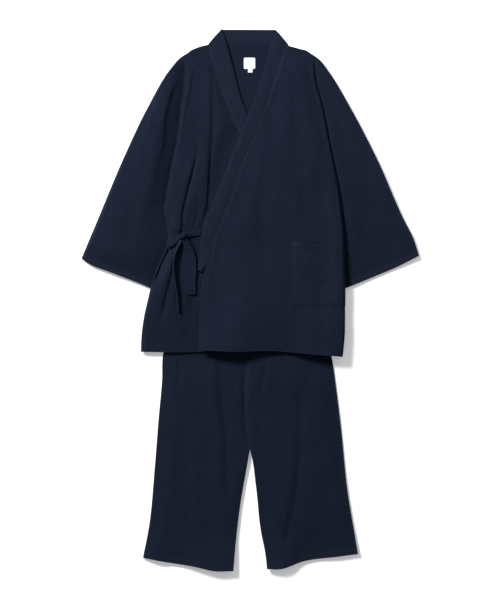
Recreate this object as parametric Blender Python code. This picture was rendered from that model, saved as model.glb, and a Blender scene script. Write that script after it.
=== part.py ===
# A navy cotton samue laid flat, seen from above: a wrap jacket over a pair of wide trousers.
#
# +X is the wearer's left, +Y runs towards the collar, and +Z is up from the surface it lies on.
# The tables are in millimetres. x is measured from the centre line, and down from the top of the
# collar. Every wall follows a height above the surface, so panels lie on each other like cloth.
import math

import bmesh
import bpy
import numpy as np
from mathutils import Vector
from mathutils.bvhtree import BVHTree

MM = 0.001

# Driving sizes, in millimetres.
LENGTH = 1327.2  # top of the collar to the longest trouser hem
CLOTH = 1.2  # a panel's wall
BAND = 2.2  # the collar, cloth folded double over an interlining
WAIST_WALL = 1.6
LABEL = 1.0
GAP = 0.3  # between pieces that are sewn together or lie on each other
SEAM_GAP = GAP + 0.1  # the same along the slanted collar seams, and under the ties
PITCH = CLOTH + GAP  # one panel laid on another
SLEEVE_FOLD = 1.2  # radius of a sleeve's folded edge, at the middle of its wall
TUCK = 12.0  # a sleeve's inner edge runs this far under the front
HIDDEN_EDGE = 1.8  # how far the back's edge stays inside what covers it
TROUSER_STACK = 2 * WAIST_WALL + 2 * GAP  # height that the jacket climbs over the waistband
UNDER_STACK = BAND + GAP  # height that the left front climbs over the right one and its collar
FRONT_LOFT = 6.0  # how far a front stands off the back, between its folds
TROUSER_LOFT = 5.0
SLEEVE_LOFT = 2.6
FOLD_PULL = 4.0  # how much closer a grid's columns stand in a deep fold
COLLAR_TURNS = (36, 72, 108, 144)  # degrees of the half turn beside the neck
TUBE_TURNS = (45, 90, 135)

# Where a height sets in, from nothing to all of it: distances in from an edge, or down the garment.
FRONT_SIDE_RISE = (8.0, 45.0)
FRONT_COLLAR_RISE = (44.0, 110.0)
SHOULDER_RISE = (50.0, 110.0)
FRONT_CLIMB = (540.0, 622.0)  # over the waistband
BACK_CLIMB = (560.0, 640.0)
RIGHT_HEM_FALL = (735.0, 791.0)
LEFT_HEM_FALL = (740.0, 800.0)
NECK_FALL = (60.0, 110.0)
NECK_SPREAD = (98.0, 135.0)
OVERLAP_FALL = (14.0, 60.0)
COVER_RISE = (-32.0, -8.0)
ROLL_CREST = 11.0
ROLL_FALL = (14.0, 62.0)
LEG_EDGE_RISE = (2.0, 34.0)
LEG_TOP_RISE = (800.0, 850.0)
LEG_FOOT_FALL = (1240.0, 1310.0)
SLEEVE_INNER_RISE = (14.0, 44.0)
SLEEVE_OUTER_RISE = (4.0, 36.0)

WAIST_TOP = 654.0
WAIST_BOTTOM = 693.0
CROTCH = 1030.0
CUFF = 637.0  # where the sleeves' cuffs meet the body
COLLAR_END = 595.5

# The body's side edges. One row for each level.
BODY_COLUMNS = ("down", "right_side", "left_side", "right_roll", "left_roll")
BODY = np.array((
    (71, -161, 154, 1.5, 1.5),
    (88, -164, 165, 2.0, 2.5),
    (181, -171, 178, 3.0, 4.0),
    (282, -179, 195, 4.0, 5.5),
    (338, -191, 205, 4.5, 6.5),
    (407, -206, 219, 5.0, 7.5),
    (441, -211, 223, 5.0, 8.0),
    (468, -208, 226, 5.0, 8.5),
    (512, -202, 230, 5.0, 9.0),
    (556, -211, 231, 6.0, 9.5),
    (620, -240, 232, 7.0, 9.5),
    (661, -250, 232, 6.0, 8.0),
    (700, -259, 232, 4.0, 6.0),
    (750, -266, 231, 2.0, 4.5),
    (803, -268, 226, 1.0, 3.0),
), dtype=float)

# The collar band's two edges, from the fold beside the neck to its lower end.
COLLAR_COLUMNS = ("seam_down", "seam_x", "free_down", "free_x")
LEFT_COLLAR = np.array((
    (41, 92.3, 2.4, 59.6),
    (54, 87.7, 10, 54.6),
    (90, 75, 62, 37),
    (130, 60.8, 114, 20),
    (196, 38.7, 182, 1),
    (250, 16.7, 234, -17),
    (331, -15.2, 315, -50),
    (394.5, -37.2, 380, -74),
    (453, -59.3, 438, -98),
    (492.5, -76.4, 476, -114),
    (519.5, -86.2, 508, -121),
    (558.5, -93, 550, -126.5),
    (COLLAR_END, -113.5, 591, -127.9),
), dtype=float)
RIGHT_COLLAR = np.array((
    (38.4, -101.5, 1.8, -67.9),
    (54, -98.5, 18, -63),
    (92, -87, 80, -45),
    (130, -76.4, 115, -34),
    (201, -49.5, 184, -13),
    (255, -25, 238, 13),
    (331, 6, 315, 42),
    (394, 29, 380, 66),
    (453, 51, 438, 90),
    (492, 68, 476, 106),
    (519, 78, 508, 113),
    (559, 86, 550, 120),
    (COLLAR_END, 108, 591, 122),
), dtype=float)

# The fronts' free edges below the collar, and the lines that divide each front's plan in two: the
# left one's runs down the pocket's inner edge, and the right one's just under the left front.
EDGE_COLUMNS = ("down", "x")
LEFT_SPLIT = np.array(((71, 124), (300, 108), (533, 103.5), (803, 103.5)), dtype=float)
RIGHT_SPLIT = np.array((
    (74, -118), (206, -66), (326, -62), (429, -80), (530, -106), (803, -106),
), dtype=float)
LEFT_FREE = np.array(((COLLAR_END, -113.5), (640, -120), (698, -124.5), (786, -125)), dtype=float)
RIGHT_FREE = np.array(((COLLAR_END, 108), (640, 113), (698, 118), (784, 120)), dtype=float)
# The hems, from the free edge outwards: how far each hangs below its straight line.
HEM_COLUMNS = ("share", "drop")
LEFT_HEM = np.array(((0, 0), (0.25, 0), (0.5, -6), (0.75, -3), (1, 0)), dtype=float)
RIGHT_HEM = np.array(((0, 0), (0.5, 2), (0.85, 2), (1, 0)), dtype=float)

# The patch pocket: its upper edge's line and lower edge, at the front's centre edge and side edge.
POCKET_TOP = (505.0, 533.0)
POCKET_BOTTOM = (679.0, 679.0)
POCKET_ROWS = (16, 24)
# Rows of a front's grid: shoulder to pocket, pocket to the collar's end, on to the pocket's foot, hem.
ROWS = (16, 5, 3, 4)
SIDE_DOWN = {"left_side": (71.0, 803.0), "right_side": (74.0, 791.0)}
CENTRE_HEM = {"left_side": 786.0, "right_side": 784.0}
SHOULDER = {
    "left_side": ((119, 48.5), (143, 56.5), (154, 71)),
    "right_side": ((-127, 45), (-150, 57), (-161, 74)),
}
# A front's columns: shares of its plan up to the dividing line, then from there to the side edge.
LEFT_COLUMNS = (np.linspace(0, 1, 10), np.array((0.17, 0.34, 0.5, 0.65, 0.78, 0.88, 0.95, 1.0)))
RIGHT_COLUMNS = (
    np.linspace(0, 1, 5),
    np.array((0.09, 0.18, 0.27, 0.36, 0.45, 0.54, 0.63, 0.72, 0.8, 0.88, 0.95, 1.0)),
)

# The sleeves: the folded outer edge from the shoulder down, and the cuff from its outer corner in.
POINT_COLUMNS = ("x", "down")
LEFT_SLEEVE = np.array((
    (143, 56.5), (171, 76), (191, 102), (244.5, 191), (312, 321), (377, 468), (398, 509), (413.6, 555.4),
), dtype=float)
LEFT_CUFF = np.array((
    (413.6, 555.4), (389, 568.5), (360, 583), (313, 603), (267, 622), (232, 636), (220, 641),
), dtype=float)
RIGHT_SLEEVE = np.array((
    (-150, 57), (-172, 71), (-194, 96), (-250.5, 191), (-307, 309), (-374, 468), (-413.6, 562.5),
), dtype=float)
RIGHT_CUFF = np.array((
    (-413.6, 562.5), (-396, 575), (-346, 595), (-297, 613.5), (-245.5, 634.6), (-233.5, 640),
), dtype=float)
UNDERARM = 430.0
# A sleeve's rows from the armhole to the cuff, and its columns from the folded edge in.
SLEEVE_LEVELS = np.array((0, 0.06, 0.14, 0.24, 0.35, 0.46, 0.57, 0.68, 0.78, 0.87, 0.94, 1.0))
SLEEVE_ACROSS = np.array((0, 0.05, 0.14, 0.26, 0.38, 0.5, 0.62, 0.74, 0.84, 0.93, 1.0))

# The waistband's ends, under the jacket, and a leg's columns from the centre out.
WAIST_ENDS = (-172.0, 168.0)
LEG_ACROSS = np.array((0, 0.04, 0.14, 0.26, 0.38, 0.5, 0.62, 0.74, 0.86, 0.96, 1.0))

# The trousers: outer side, centre seam with the inside leg, and hem.
RIGHT_LEG_SIDE = np.array((
    (WAIST_BOTTOM, -170), (798.7, -213.6), (860, -216), (949, -224), (1075, -234), (1219, -248),
    (1295, -262.6),
), dtype=float)
LEFT_LEG_SIDE = np.array((
    (WAIST_BOTTOM, 166), (808.5, 200.4), (871, 209.5), (980, 223), (1133, 238.6), (1238, 256),
    (1286, 264),
), dtype=float)
CENTRE_SEAM = np.array((
    (WAIST_BOTTOM, -6), (804, -13), (875, -15), (973, -11), (CROTCH, -1),
), dtype=float)
RIGHT_INSEAM = np.array((
    (CROTCH, -1), (1060, -6), (1171, -25), (1281, -37.2), (1327, -41),
), dtype=float)
LEFT_INSEAM = np.array((
    (CROTCH, -1), (1035, 0.5), (1121, 14), (1230, 26), (1289, 37.5), (1322.5, 41),
), dtype=float)
RIGHT_LEG_HEM = np.array(((0, 0), (0.22, 7), (0.4, 4), (0.76, 2.5), (1, 0)), dtype=float)
LEFT_LEG_HEM = np.array(((0, 0), (0.15, 5), (0.4, -4), (0.75, -2), (1, 0)), dtype=float)

# Soft troughs. One row for each: how deep it sinks the loft, its half width, and the points it
# runs through, as x and down.
FRONT_FOLDS = (
    (0.95, 8, ((-128, 262), (-141, 348), (-157, 407), (-166, 450), (-168, 505))),
    (0.90, 7, ((-102, 80), (-92, 223), (-98, 316), (-108, 410), (-117, 490))),
    (0.65, 9, ((-133, 90), (-152, 157), (-162, 223), (-163, 310))),
    (0.85, 10, ((-186, 550), (-207, 652), (-228, 735))),
    (0.80, 9, ((-174, 525), (-177, 590), (-168, 690))),
    (0.65, 14, ((102, 95), (108, 220), (120, 370))),
    (0.55, 12, ((137, 150), (152, 200), (164, 250))),
    (0.80, 20, ((48, 190), (39, 282), (27, 394), (33, 620))),
    (0.60, 13, ((122, 370), (130, 430), (139, 500))),
    (0.50, 14, ((106, 690), (101, 740), (97, 790))),
    (0.45, 20, ((-30, 520), (-42, 620), (-40, 740))),
)
SLEEVE_FOLDS = (
    (0.90, 20, ((-196, 150), (-211, 304), (-228, 370), (-239, 440))),
    (0.60, 24, ((-262, 300), (-290, 420), (-300, 560))),
    (0.70, 22, ((262, 260), (282, 400), (286, 570))),
    (0.60, 22, ((330, 420), (345, 500), (352, 585))),
)
TROUSER_FOLDS = (
    (0.85, 16, ((-84, 800), (-74, 911), (-63, 1002), (-62, 1100), (-54, 1180), (-53, 1260))),
    (0.85, 14, ((121, 860), (118, 1024), (107, 1137), (93, 1213), (74, 1290))),
    (0.60, 9, ((36, 800), (32, 850), (30, 900))),
    (0.60, 10, ((-178, 800), (-179, 840), (-180, 890))),
    (0.55, 20, ((-160, 980), (-158, 1100), (-150, 1240))),
    (0.50, 20, ((180, 960), (190, 1090), (196, 1220))),
    (0.60, 8, ((-13, 790), (-15, 875), (-11, 973), (-1, 1050))),
)
# Where the jacket's hem lifts off the trousers: x, half width, height.
HEM_LIFTS = ((-48, 46, 5.0), (175, 36, 5.0), (75, 30, 1.5))
HEM_LIFT_REACH = 75.0

# The straps, as rows of x, down, width and wall along their length.
STRAP_COLUMNS = ("x", "down", "width", "wall")
TIE_SIDE = np.array((
    (-200, 533, 9, 2.4), (-190, 526, 9, 2.6), (-181, 519, 9, 3.0), (-174.5, 511.5, 9, 3.2),
), dtype=float)
TIE_FRONT = np.array((
    (-121.5, 498, 10, 2.0), (-137, 500, 9, 2.6), (-152, 503, 8, 3.2),
), dtype=float)
TIE_TAIL_LEFT = np.array((
    (-171.5, 524.5, 7, 3.0), (-182, 543, 9, 4.5), (-189, 573, 9, 5.5), (-185, 606, 9, 5.0),
    (-179, 643, 9, 4.0), (-174, 696, 9, 3.0),
), dtype=float)
TIE_TAIL_RIGHT = np.array((
    (-158.5, 519, 11, 4.0), (-153, 535, 20, 3.4), (-150, 555, 29, 2.6), (-149, 580, 33, 2.0),
    (-147, 612, 28, 1.8), (-144.5, 650, 25, 1.8),
), dtype=float)
# Across a strap: shares of its width, and of its wall, which is thinner towards its edges.
STRAP_ACROSS = np.array((-0.5, -0.35, -0.18, 0.0, 0.18, 0.35, 0.5))
STRAP_ROUND = np.array((0.45, 0.8, 0.95, 1.0, 0.95, 0.8, 0.45))
CARRIED_ROUND = (-7.0, -3.5, 0.0, 3.5, 7.0)  # steps round a point, to find what it rests on
KNOT = (-163.5, 508.5)
KNOT_SIZE = (17.0, 16.0, 9.0)
# Up the knot: the share of its height, and how far it spreads there.
KNOT_LEVELS = ((0.0, 0.72), (0.3, 0.98), (0.65, 0.95), (0.9, 0.68), (1.0, 0.3))
KNOT_SIDES = 14

LABEL_BOX = (-15.5, 70.6, 12.3, 98.2)
TAB_BOX = (-5.4, 98.5, 5.8, 107.0)

NAVY = (0.0137, 0.0185, 0.0343, 1.0)
WHITE = (0.86, 0.86, 0.84, 1.0)


# Curves and surfaces

def column(table, names, name):
    return table[:, names.index(name)]


def smooth(keys, values, at):
    """A smooth curve through values at keys, read at other places."""
    slopes = np.gradient(values, keys, axis=0)
    at = np.clip(np.asarray(at, dtype=float), keys[0], keys[-1])
    index = np.clip(np.searchsorted(keys, at, side="right") - 1, 0, len(keys) - 2)
    span = keys[index + 1] - keys[index]
    part = (at - keys[index]) / span
    if values.ndim > 1:
        span, part = span[..., None], part[..., None]
    start = (1 + 2 * part) * (1 - part) ** 2 * values[index]
    leave = part * (1 - part) ** 2 * slopes[index] * span
    arrive = part ** 2 * (part - 1) * slopes[index + 1] * span
    end = part ** 2 * (3 - 2 * part) * values[index + 1]
    return start + leave + arrive + end


def edge_x(table, down):
    """x of an edge given as rows of down and x."""
    return smooth(column(table, EDGE_COLUMNS, "down"), column(table, EDGE_COLUMNS, "x"), down)


def outline_x(table, down):
    """x of an outline given as rows of x and down."""
    return smooth(column(table, POINT_COLUMNS, "down"), column(table, POINT_COLUMNS, "x"), down)


def hem_drop(table, share):
    return smooth(column(table, HEM_COLUMNS, "share"), column(table, HEM_COLUMNS, "drop"), share)


def along(points, share):
    """Points on a smooth line through a few given ones, by their share of its length."""
    points = np.asarray(points, dtype=float)
    chords = np.linalg.norm(np.diff(points, axis=0), axis=1)
    keys = np.concatenate(((0.0,), np.cumsum(chords))) / chords.sum()
    return smooth(keys, points, share)


def step(low, high, value):
    part = np.clip((value - low) / (high - low), 0.0, 1.0)
    return part * part * (3 - 2 * part)


def spaced(*zones):
    """Levels that fall on each zone's ends, with a number of equal rows between them."""
    levels = [np.linspace(start, stop, rows, endpoint=False) for start, stop, rows in zones]
    return np.concatenate(levels + [np.array((zones[-1][1],))])


def coons(top, bottom, left, right, across, level):
    """Fills four edge curves. across is a share for each row and column, level one for each row."""
    down = level[:, None, None]
    side = across[:, :, None]
    rows = (1 - down) * top(across) + down * bottom(across)
    sides = (1 - side) * left[:, None, :] + side * right[:, None, :]
    upper = (1 - side) * left[0] + side * right[0]
    lower = (1 - side) * left[-1] + side * right[-1]
    return rows + sides - (1 - down) * upper - down * lower


# Heights above the surface

def fold_relief(folds, x, down):
    """How much of the loft is left at a point, between 0 in a deep trough and 1."""
    left = np.ones_like(x)
    for depth, half_width, points in folds:
        line = along(points, np.linspace(0, 1, 25))
        away = np.hypot(x[..., None] - line[:, 0], down[..., None] - line[:, 1])
        nearest = away.argmin(axis=-1)
        share = nearest / (len(line) - 1.0)
        taper = step(-0.05, 0.3, share) * (1 - step(0.75, 1.05, share))
        left *= 1 - depth * taper * np.exp(-((away.min(axis=-1) / half_width) ** 2))
    return left


def side_edge(name, down):
    return smooth(column(BODY, BODY_COLUMNS, "down"), column(BODY, BODY_COLUMNS, name), down)


def front_lift(down):
    return TROUSER_STACK * step(*FRONT_CLIMB, down)


def neck_lift(x, down):
    """The fronts and the band meet level beside the neck, where the band is thicker."""
    rise = BAND - CLOTH + 0.2
    return rise * (1 - step(*NECK_FALL, down)) * (1 - step(*NECK_SPREAD, np.abs(x)))


def side_roll(roll, down, inward):
    """The front's side edge: raised over the sleeve, rolled down at its very edge."""
    crest = side_edge(roll, down)
    rise = 0.25 + 0.75 * np.sin(math.pi / 2 * np.clip(inward / ROLL_CREST, 0, 1))
    fall = 1 - step(*ROLL_FALL, inward)
    sleeve = (2 * SLEEVE_FOLD + 0.2) * (1 - step(CUFF, CUFF + 50, down))
    return crest * rise * fall + sleeve * (1 - step(TUCK + 6, 46, inward))


def hem_lift(x, down, hem):
    height = np.zeros_like(x)
    for centre, half_width, rise in HEM_LIFTS:
        height += rise * np.exp(-(((x - centre) / half_width) ** 2))
    return height * step(hem - HEM_LIFT_REACH, hem, down)


def left_of_overlap(x, down):
    """1 where the right front's hidden part lies below, 0 well past it."""
    keys = column(RIGHT_COLLAR, COLLAR_COLUMNS, "free_down")
    hidden = smooth(keys, column(RIGHT_COLLAR, COLLAR_COLUMNS, "free_x"), down)
    return 1 - step(*OVERLAP_FALL, x - hidden)


def free_edge(down):
    """The line that the left front and its collar end on, across the right front."""
    keys = column(LEFT_COLLAR, COLLAR_COLUMNS, "free_down")
    upper = smooth(keys, column(LEFT_COLLAR, COLLAR_COLUMNS, "free_x"), down)
    return np.where(down < COLLAR_END, upper, edge_x(LEFT_FREE, down))


def right_front_height(x, down):
    """Underside of the right front and its collar."""
    inward = np.maximum(x - side_edge("right_side", down), 0)
    crossing_down, crossing_x = RIGHT_COLLAR[4, :2]
    cover = np.minimum(free_edge(down), free_edge(down - 30))
    open_cloth = 1 - step(*COVER_RISE, x - np.where(down < crossing_down, crossing_x, cover))
    loft = FRONT_LOFT * open_cloth * step(*FRONT_SIDE_RISE, inward) * step(*SHOULDER_RISE, down)
    loft = loft * (1 - step(*RIGHT_HEM_FALL, down)) * fold_relief(FRONT_FOLDS, x, down)
    roll = side_roll("right_roll", down, inward)
    return PITCH + front_lift(down) + neck_lift(x, down) + roll + loft


def left_front_height(x, down):
    """Underside of the left front and its collar."""
    inward = np.maximum(side_edge("left_side", down) - x, 0)
    from_edge = x - free_edge(down)
    loft = FRONT_LOFT * step(*FRONT_COLLAR_RISE, from_edge) * step(*FRONT_SIDE_RISE, inward)
    loft = loft * step(*SHOULDER_RISE, down) * (1 - 0.8 * step(*LEFT_HEM_FALL, down))
    loft = loft * fold_relief(FRONT_FOLDS, x, down)
    roll = side_roll("left_roll", down, inward)
    base = PITCH + UNDER_STACK * left_of_overlap(x, down) + front_lift(down) + neck_lift(x, down)
    return base + roll + loft + hem_lift(x, down, CENTRE_HEM["left_side"])


def back_height(down):
    return TROUSER_STACK * step(*BACK_CLIMB, down)


def trouser_height(x, down):
    """Underside of the trouser fronts."""
    outer = np.minimum(x - edge_x(RIGHT_LEG_SIDE, down), edge_x(LEFT_LEG_SIDE, down) - x)
    inner = np.maximum(edge_x(RIGHT_INSEAM, down) - x, x - edge_x(LEFT_INSEAM, down))
    above_crotch = 60 * (1 - step(CROTCH - 20, CROTCH + 60, down))
    inner = np.maximum(inner, 0) + above_crotch
    loft = TROUSER_LOFT * step(*LEG_EDGE_RISE, outer) * step(*LEG_EDGE_RISE, inner)
    loft = loft * step(*LEG_TOP_RISE, down) * (1 - step(*LEG_FOOT_FALL, down))
    return PITCH + loft * fold_relief(TROUSER_FOLDS, x, down)


def sleeve_height(x, down):
    """What the sleeve's upper side gains over its folded edge."""
    beyond = np.maximum(x - side_edge("left_side", down), side_edge("right_side", down) - x)
    outer = np.minimum(outline_x(LEFT_SLEEVE, down) - x, x - outline_x(RIGHT_SLEEVE, down))
    loft = SLEEVE_LOFT * step(*SLEEVE_INNER_RISE, beyond) * step(*SLEEVE_OUTER_RISE, outer)
    return loft * fold_relief(SLEEVE_FOLDS, x, down)


# Solids

def place(points):
    """From x, down and height in millimetres to metres in the part's frame."""
    points = np.asarray(points, dtype=float)
    return np.stack((points[..., 0], LENGTH / 2 - points[..., 1], points[..., 2]), axis=-1) * MM


def finish(thing, colour):
    material = bpy.data.materials.new(thing.name + "_cloth")
    material.use_nodes = True
    shader = material.node_tree.nodes["Principled BSDF"]
    shader.inputs["Base Color"].default_value = colour
    shader.inputs["Roughness"].default_value = 0.9
    shader.inputs["Metallic"].default_value = 0.0
    thing.data.materials.append(material)
    thing.data.shade_smooth()
    thing.data.set_sharp_from_angle(angle=math.radians(50))


def wall(name, outer, inner, colour=NAVY, joined=False):
    """A sheet of rows and columns with its wall. joined closes it round into a tube."""
    outer, inner = place(outer), place(inner)
    rows, columns = outer.shape[:2]
    sheet = bmesh.new()
    bmesh.ops.create_grid(sheet, x_segments=columns - 1, y_segments=rows - 1, size=1.0)
    shift = sheet.verts.layers.float_vector.new("shift")
    sheet.verts.ensure_lookup_table()
    for index, vertex in enumerate(sheet.verts):
        row, column_index = divmod(index, columns)
        vertex.co = outer[row, column_index]
        vertex[shift] = inner[row, column_index] - outer[row, column_index]
    if joined:
        bmesh.ops.remove_doubles(sheet, verts=sheet.verts, dist=1e-6)
    bmesh.ops.triangulate(sheet, faces=sheet.faces, quad_method="FIXED")
    pulled = bmesh.ops.extrude_face_region(sheet, geom=sheet.faces, use_keep_orig=True)
    for vertex in (item for item in pulled["geom"] if isinstance(item, bmesh.types.BMVert)):
        vertex.co += Vector(vertex[shift])
    bmesh.ops.recalc_face_normals(sheet, faces=sheet.faces)
    mesh = bpy.data.meshes.new(name)
    sheet.to_mesh(mesh)
    sheet.free()
    thing = bpy.data.objects.new(name, mesh)
    bpy.context.collection.objects.link(thing)
    finish(thing, colour)
    return thing


def steepness(points):
    """How much taller a wall has to be, measured upwards, where its surface is steep."""
    by_row = np.gradient(points, axis=0)
    by_column = np.gradient(points, axis=1)
    normal = np.cross(by_row, by_column)
    return np.clip(np.linalg.norm(normal, axis=-1) / np.abs(normal[..., 2]), 1.0, 1.7)


def laid(name, plan, height, thickness=CLOTH, colour=NAVY):
    """A panel on its underside's height, with a wall of even thickness above it."""
    under = np.concatenate((plan, height[..., None]), axis=-1)
    over = under.copy()
    over[..., 2] += thickness * steepness(under)
    wall(name, over, under, colour)
    return over


def moved_up(points, rise):
    return points + np.array((0.0, 0.0, rise))


# The jacket's body

def drawn_in(across, first, last, plan_at, folds):
    """Moves the columns between two fixed ones closer together where a fold is deep."""
    start, stop = across[:, first:first + 1], across[:, last:last + 1]
    fine = start + (stop - start) * np.linspace(0, 1, 61)[None, :]
    plan = plan_at(fine)
    weight = 1 + FOLD_PULL * (1 - fold_relief(folds, plan[..., 0], plan[..., 1]))
    run = np.cumsum((weight[:, 1:] + weight[:, :-1]) / 2, axis=1)
    run = np.concatenate((np.zeros((len(run), 1)), run), axis=1) / run[:, -1:]
    wanted = (across[:, first:last + 1] - start) / (stop - start)
    even = np.linspace(0, 1, 61)
    parts = np.array([np.interp(wanted[row], run[row], even) for row in range(len(across))])
    for _ in range(2):
        parts[1:-1] = (parts[:-2] + 2 * parts[1:-1] + parts[2:]) / 4
    moved = across.copy()
    moved[:, first:last + 1] = start + (stop - start) * parts
    return moved


def front_levels(side, centre_top):
    """Where a front's rows meet its centre edge and its side edge."""
    to_pocket, to_collar_end, to_foot, to_hem = ROWS
    centre = spaced(
        (centre_top, POCKET_TOP[0], to_pocket), (POCKET_TOP[0], COLLAR_END, to_collar_end),
        (COLLAR_END, POCKET_BOTTOM[0], to_foot), (POCKET_BOTTOM[0], CENTRE_HEM[side], to_hem))
    top, hem = SIDE_DOWN[side]
    outer = spaced(
        (top, POCKET_TOP[1], to_pocket), (POCKET_TOP[1], POCKET_BOTTOM[1], to_collar_end + to_foot),
        (POCKET_BOTTOM[1], hem, to_hem))
    return centre, outer


def front_plan(side, collar, free, split, columns, hem, sign):
    """The plan of one front, from its centre edge to its side edge. sign is 1 for the left one."""
    centre_down, side_down = front_levels(side, collar[0, 0])
    keys = column(collar, COLLAR_COLUMNS, "seam_down")
    seam = smooth(keys, column(collar, COLLAR_COLUMNS, "seam_x"), centre_down)
    below = edge_x(free, centre_down)
    centre_x = np.where(centre_down < COLLAR_END, seam, below) + sign * SEAM_GAP
    centre = np.stack((centre_x, centre_down), axis=-1)
    centre[0, 1] += GAP
    outer = np.stack((side_edge(side, side_down), side_down), axis=-1)
    level = (centre_down - centre_down[0]) / (centre_down[-1] - centre_down[0])
    share = ((edge_x(split, side_down) - centre[:, 0]) / (outer[:, 0] - centre[:, 0]))[:, None]
    across = np.concatenate((share * columns[0], share + (1 - share) * columns[1]), axis=1)

    def plan_at(part):
        return coons(
            lambda share: along((tuple(centre[0]),) + SHOULDER[side], share),
            lambda share: hem_line(centre[-1], outer[-1], hem, share), centre, outer, part, level)

    inner_last, outer_last = len(columns[0]) - 1, across.shape[1] - 3
    across = drawn_in(across, 0, inner_last, plan_at, FRONT_FOLDS)
    across = drawn_in(across, inner_last, outer_last, plan_at, FRONT_FOLDS)
    return plan_at(across)


def hem_line(start, stop, hem, share):
    line = start + (stop - start) * share[..., None]
    line[..., 1] += hem_drop(hem, share)
    return line


def make_left_front():
    plan = front_plan("left_side", LEFT_COLLAR, LEFT_FREE, LEFT_SPLIT, LEFT_COLUMNS, LEFT_HEM, 1)
    return laid("jacket_front_left", plan, left_front_height(plan[..., 0], plan[..., 1]))


def make_right_front():
    plan = front_plan(
        "right_side", RIGHT_COLLAR, RIGHT_FREE, RIGHT_SPLIT, RIGHT_COLUMNS, RIGHT_HEM, -1)
    return laid("jacket_front_right", plan, right_front_height(plan[..., 0], plan[..., 1]))


def make_pocket(front):
    """A patch made from the left front's own points, moved up off them."""
    first, last = POCKET_ROWS
    patch = front[first:last + 1, len(LEFT_COLUMNS[0]) - 1:]
    wall("pocket", moved_up(patch, GAP + CLOTH), moved_up(patch, GAP))


def make_back():
    """The back lies between the sleeves' tucked edges, and below them just inside the fronts."""
    level = np.linspace(0, 1, 28)
    edges = []
    for side, top, sign in (("right_side", 58.0, 1), ("left_side", 57.5, -1)):
        down = top + (SIDE_DOWN[side][1] - 5 - top) * level
        under_front = HIDDEN_EDGE + (TUCK + HIDDEN_EDGE) * (1 - step(CUFF + 10, CUFF + 60, down))
        edges.append(np.stack((side_edge(side, down) + sign * under_front, down), axis=-1))
    right, left = edges
    right[0, 0] = RIGHT_SLEEVE[0, 0] + PITCH
    left[0, 0] = LEFT_SLEEVE[0, 0] - PITCH
    neck = [(collar[0, 1], collar[0, 0] + SEAM_GAP) for collar in (RIGHT_COLLAR, LEFT_COLLAR)]
    shoulder = np.array((right[0], neck[0], neck[1], left[0]))

    def top_line(share):
        x = shoulder[0, 0] + (shoulder[-1, 0] - shoulder[0, 0]) * share
        return np.stack((x, np.interp(x, shoulder[:, 0], shoulder[:, 1])), axis=-1)

    def hem(share):
        return right[-1] + (left[-1] - right[-1]) * share[..., None]

    across = np.tile(np.linspace(0, 1, 11), (len(level), 1))
    plan = coons(top_line, hem, right, left, across, level)
    laid("jacket_back", plan, back_height(plan[..., 1]))


# The collar

def collar_run(table, levels, height):
    """Top and bottom of one front's stretch of the band, row by row from the neck down."""
    keys = column(table, COLLAR_COLUMNS, "seam_down")
    rows = smooth(keys, table, levels)
    share = np.linspace(0, 1, 4)[None, :]
    x = rows[:, 1:2] + (rows[:, 3:4] - rows[:, 1:2]) * share
    down = levels[:, None] + (rows[:, 2:3] - levels[:, None]) * share
    under = np.stack((x, down, height(x, down)), axis=-1)
    over = under.copy()
    over[..., 2] += BAND * steepness(under)
    return over, under


def collar_turn(over, under):
    """The band folds over beside the neck: half a turn about the line of its last row."""
    line = over[-1, :2] - over[0, :2]
    out = np.array((line[1], -line[0])) / np.linalg.norm(line)
    out = out if out[1] < 0 else -out
    high = (over[:, 2] + under[:, 2]) / 2
    low = BAND / 2
    radius, centre = (high - low) / 2, (high + low) / 2
    outer, inner = [], []
    for angle in np.radians(COLLAR_TURNS):
        for points, reach in ((outer, BAND / 2), (inner, -BAND / 2)):
            flat = over[:, :2] + out * ((radius + reach) * math.sin(angle))[:, None]
            height = centre + (radius + reach) * math.cos(angle)
            points.append(np.column_stack((flat, height)))
    return np.array(outer), np.array(inner)


def make_collar():
    rows = ROWS[0] + ROWS[1] + 1
    left_levels = front_levels("left_side", LEFT_COLLAR[0, 0])[0][:rows]
    right_levels = front_levels("right_side", RIGHT_COLLAR[0, 0])[0][:rows]
    left_over, left_under = collar_run(LEFT_COLLAR, left_levels, left_front_height)
    right_over, right_under = collar_run(RIGHT_COLLAR, right_levels, right_front_height)
    left_turn = collar_turn(left_over[0], left_under[0])
    right_turn = collar_turn(right_over[0], right_under[0])
    share = np.linspace(0, 1, 9)[:, None, None]
    neck = left_over[0][None, :, :2] * (1 - share) + right_over[0][None, :, :2] * share
    floor = np.zeros(neck.shape[:2] + (1,))
    neck_outer = np.concatenate((neck, floor), axis=-1)
    neck_inner = np.concatenate((neck, floor + BAND), axis=-1)
    outer = (left_over[::-1], left_turn[0], neck_outer, right_turn[0][::-1], right_over)
    inner = (left_under[::-1], left_turn[1], neck_inner, right_turn[1][::-1], right_under)
    wall("collar", np.concatenate(outer), np.concatenate(inner))


# Sleeves and waistband, flattened tubes

def edge_normal(edge, inside):
    """Level directions square to an edge, away from the points inside it."""
    run = np.gradient(edge, axis=0)
    square = np.column_stack((run[:, 1], -run[:, 0])) / np.linalg.norm(run, axis=-1, keepdims=True)
    return square * np.sign((square * (edge - inside)).sum())


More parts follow.
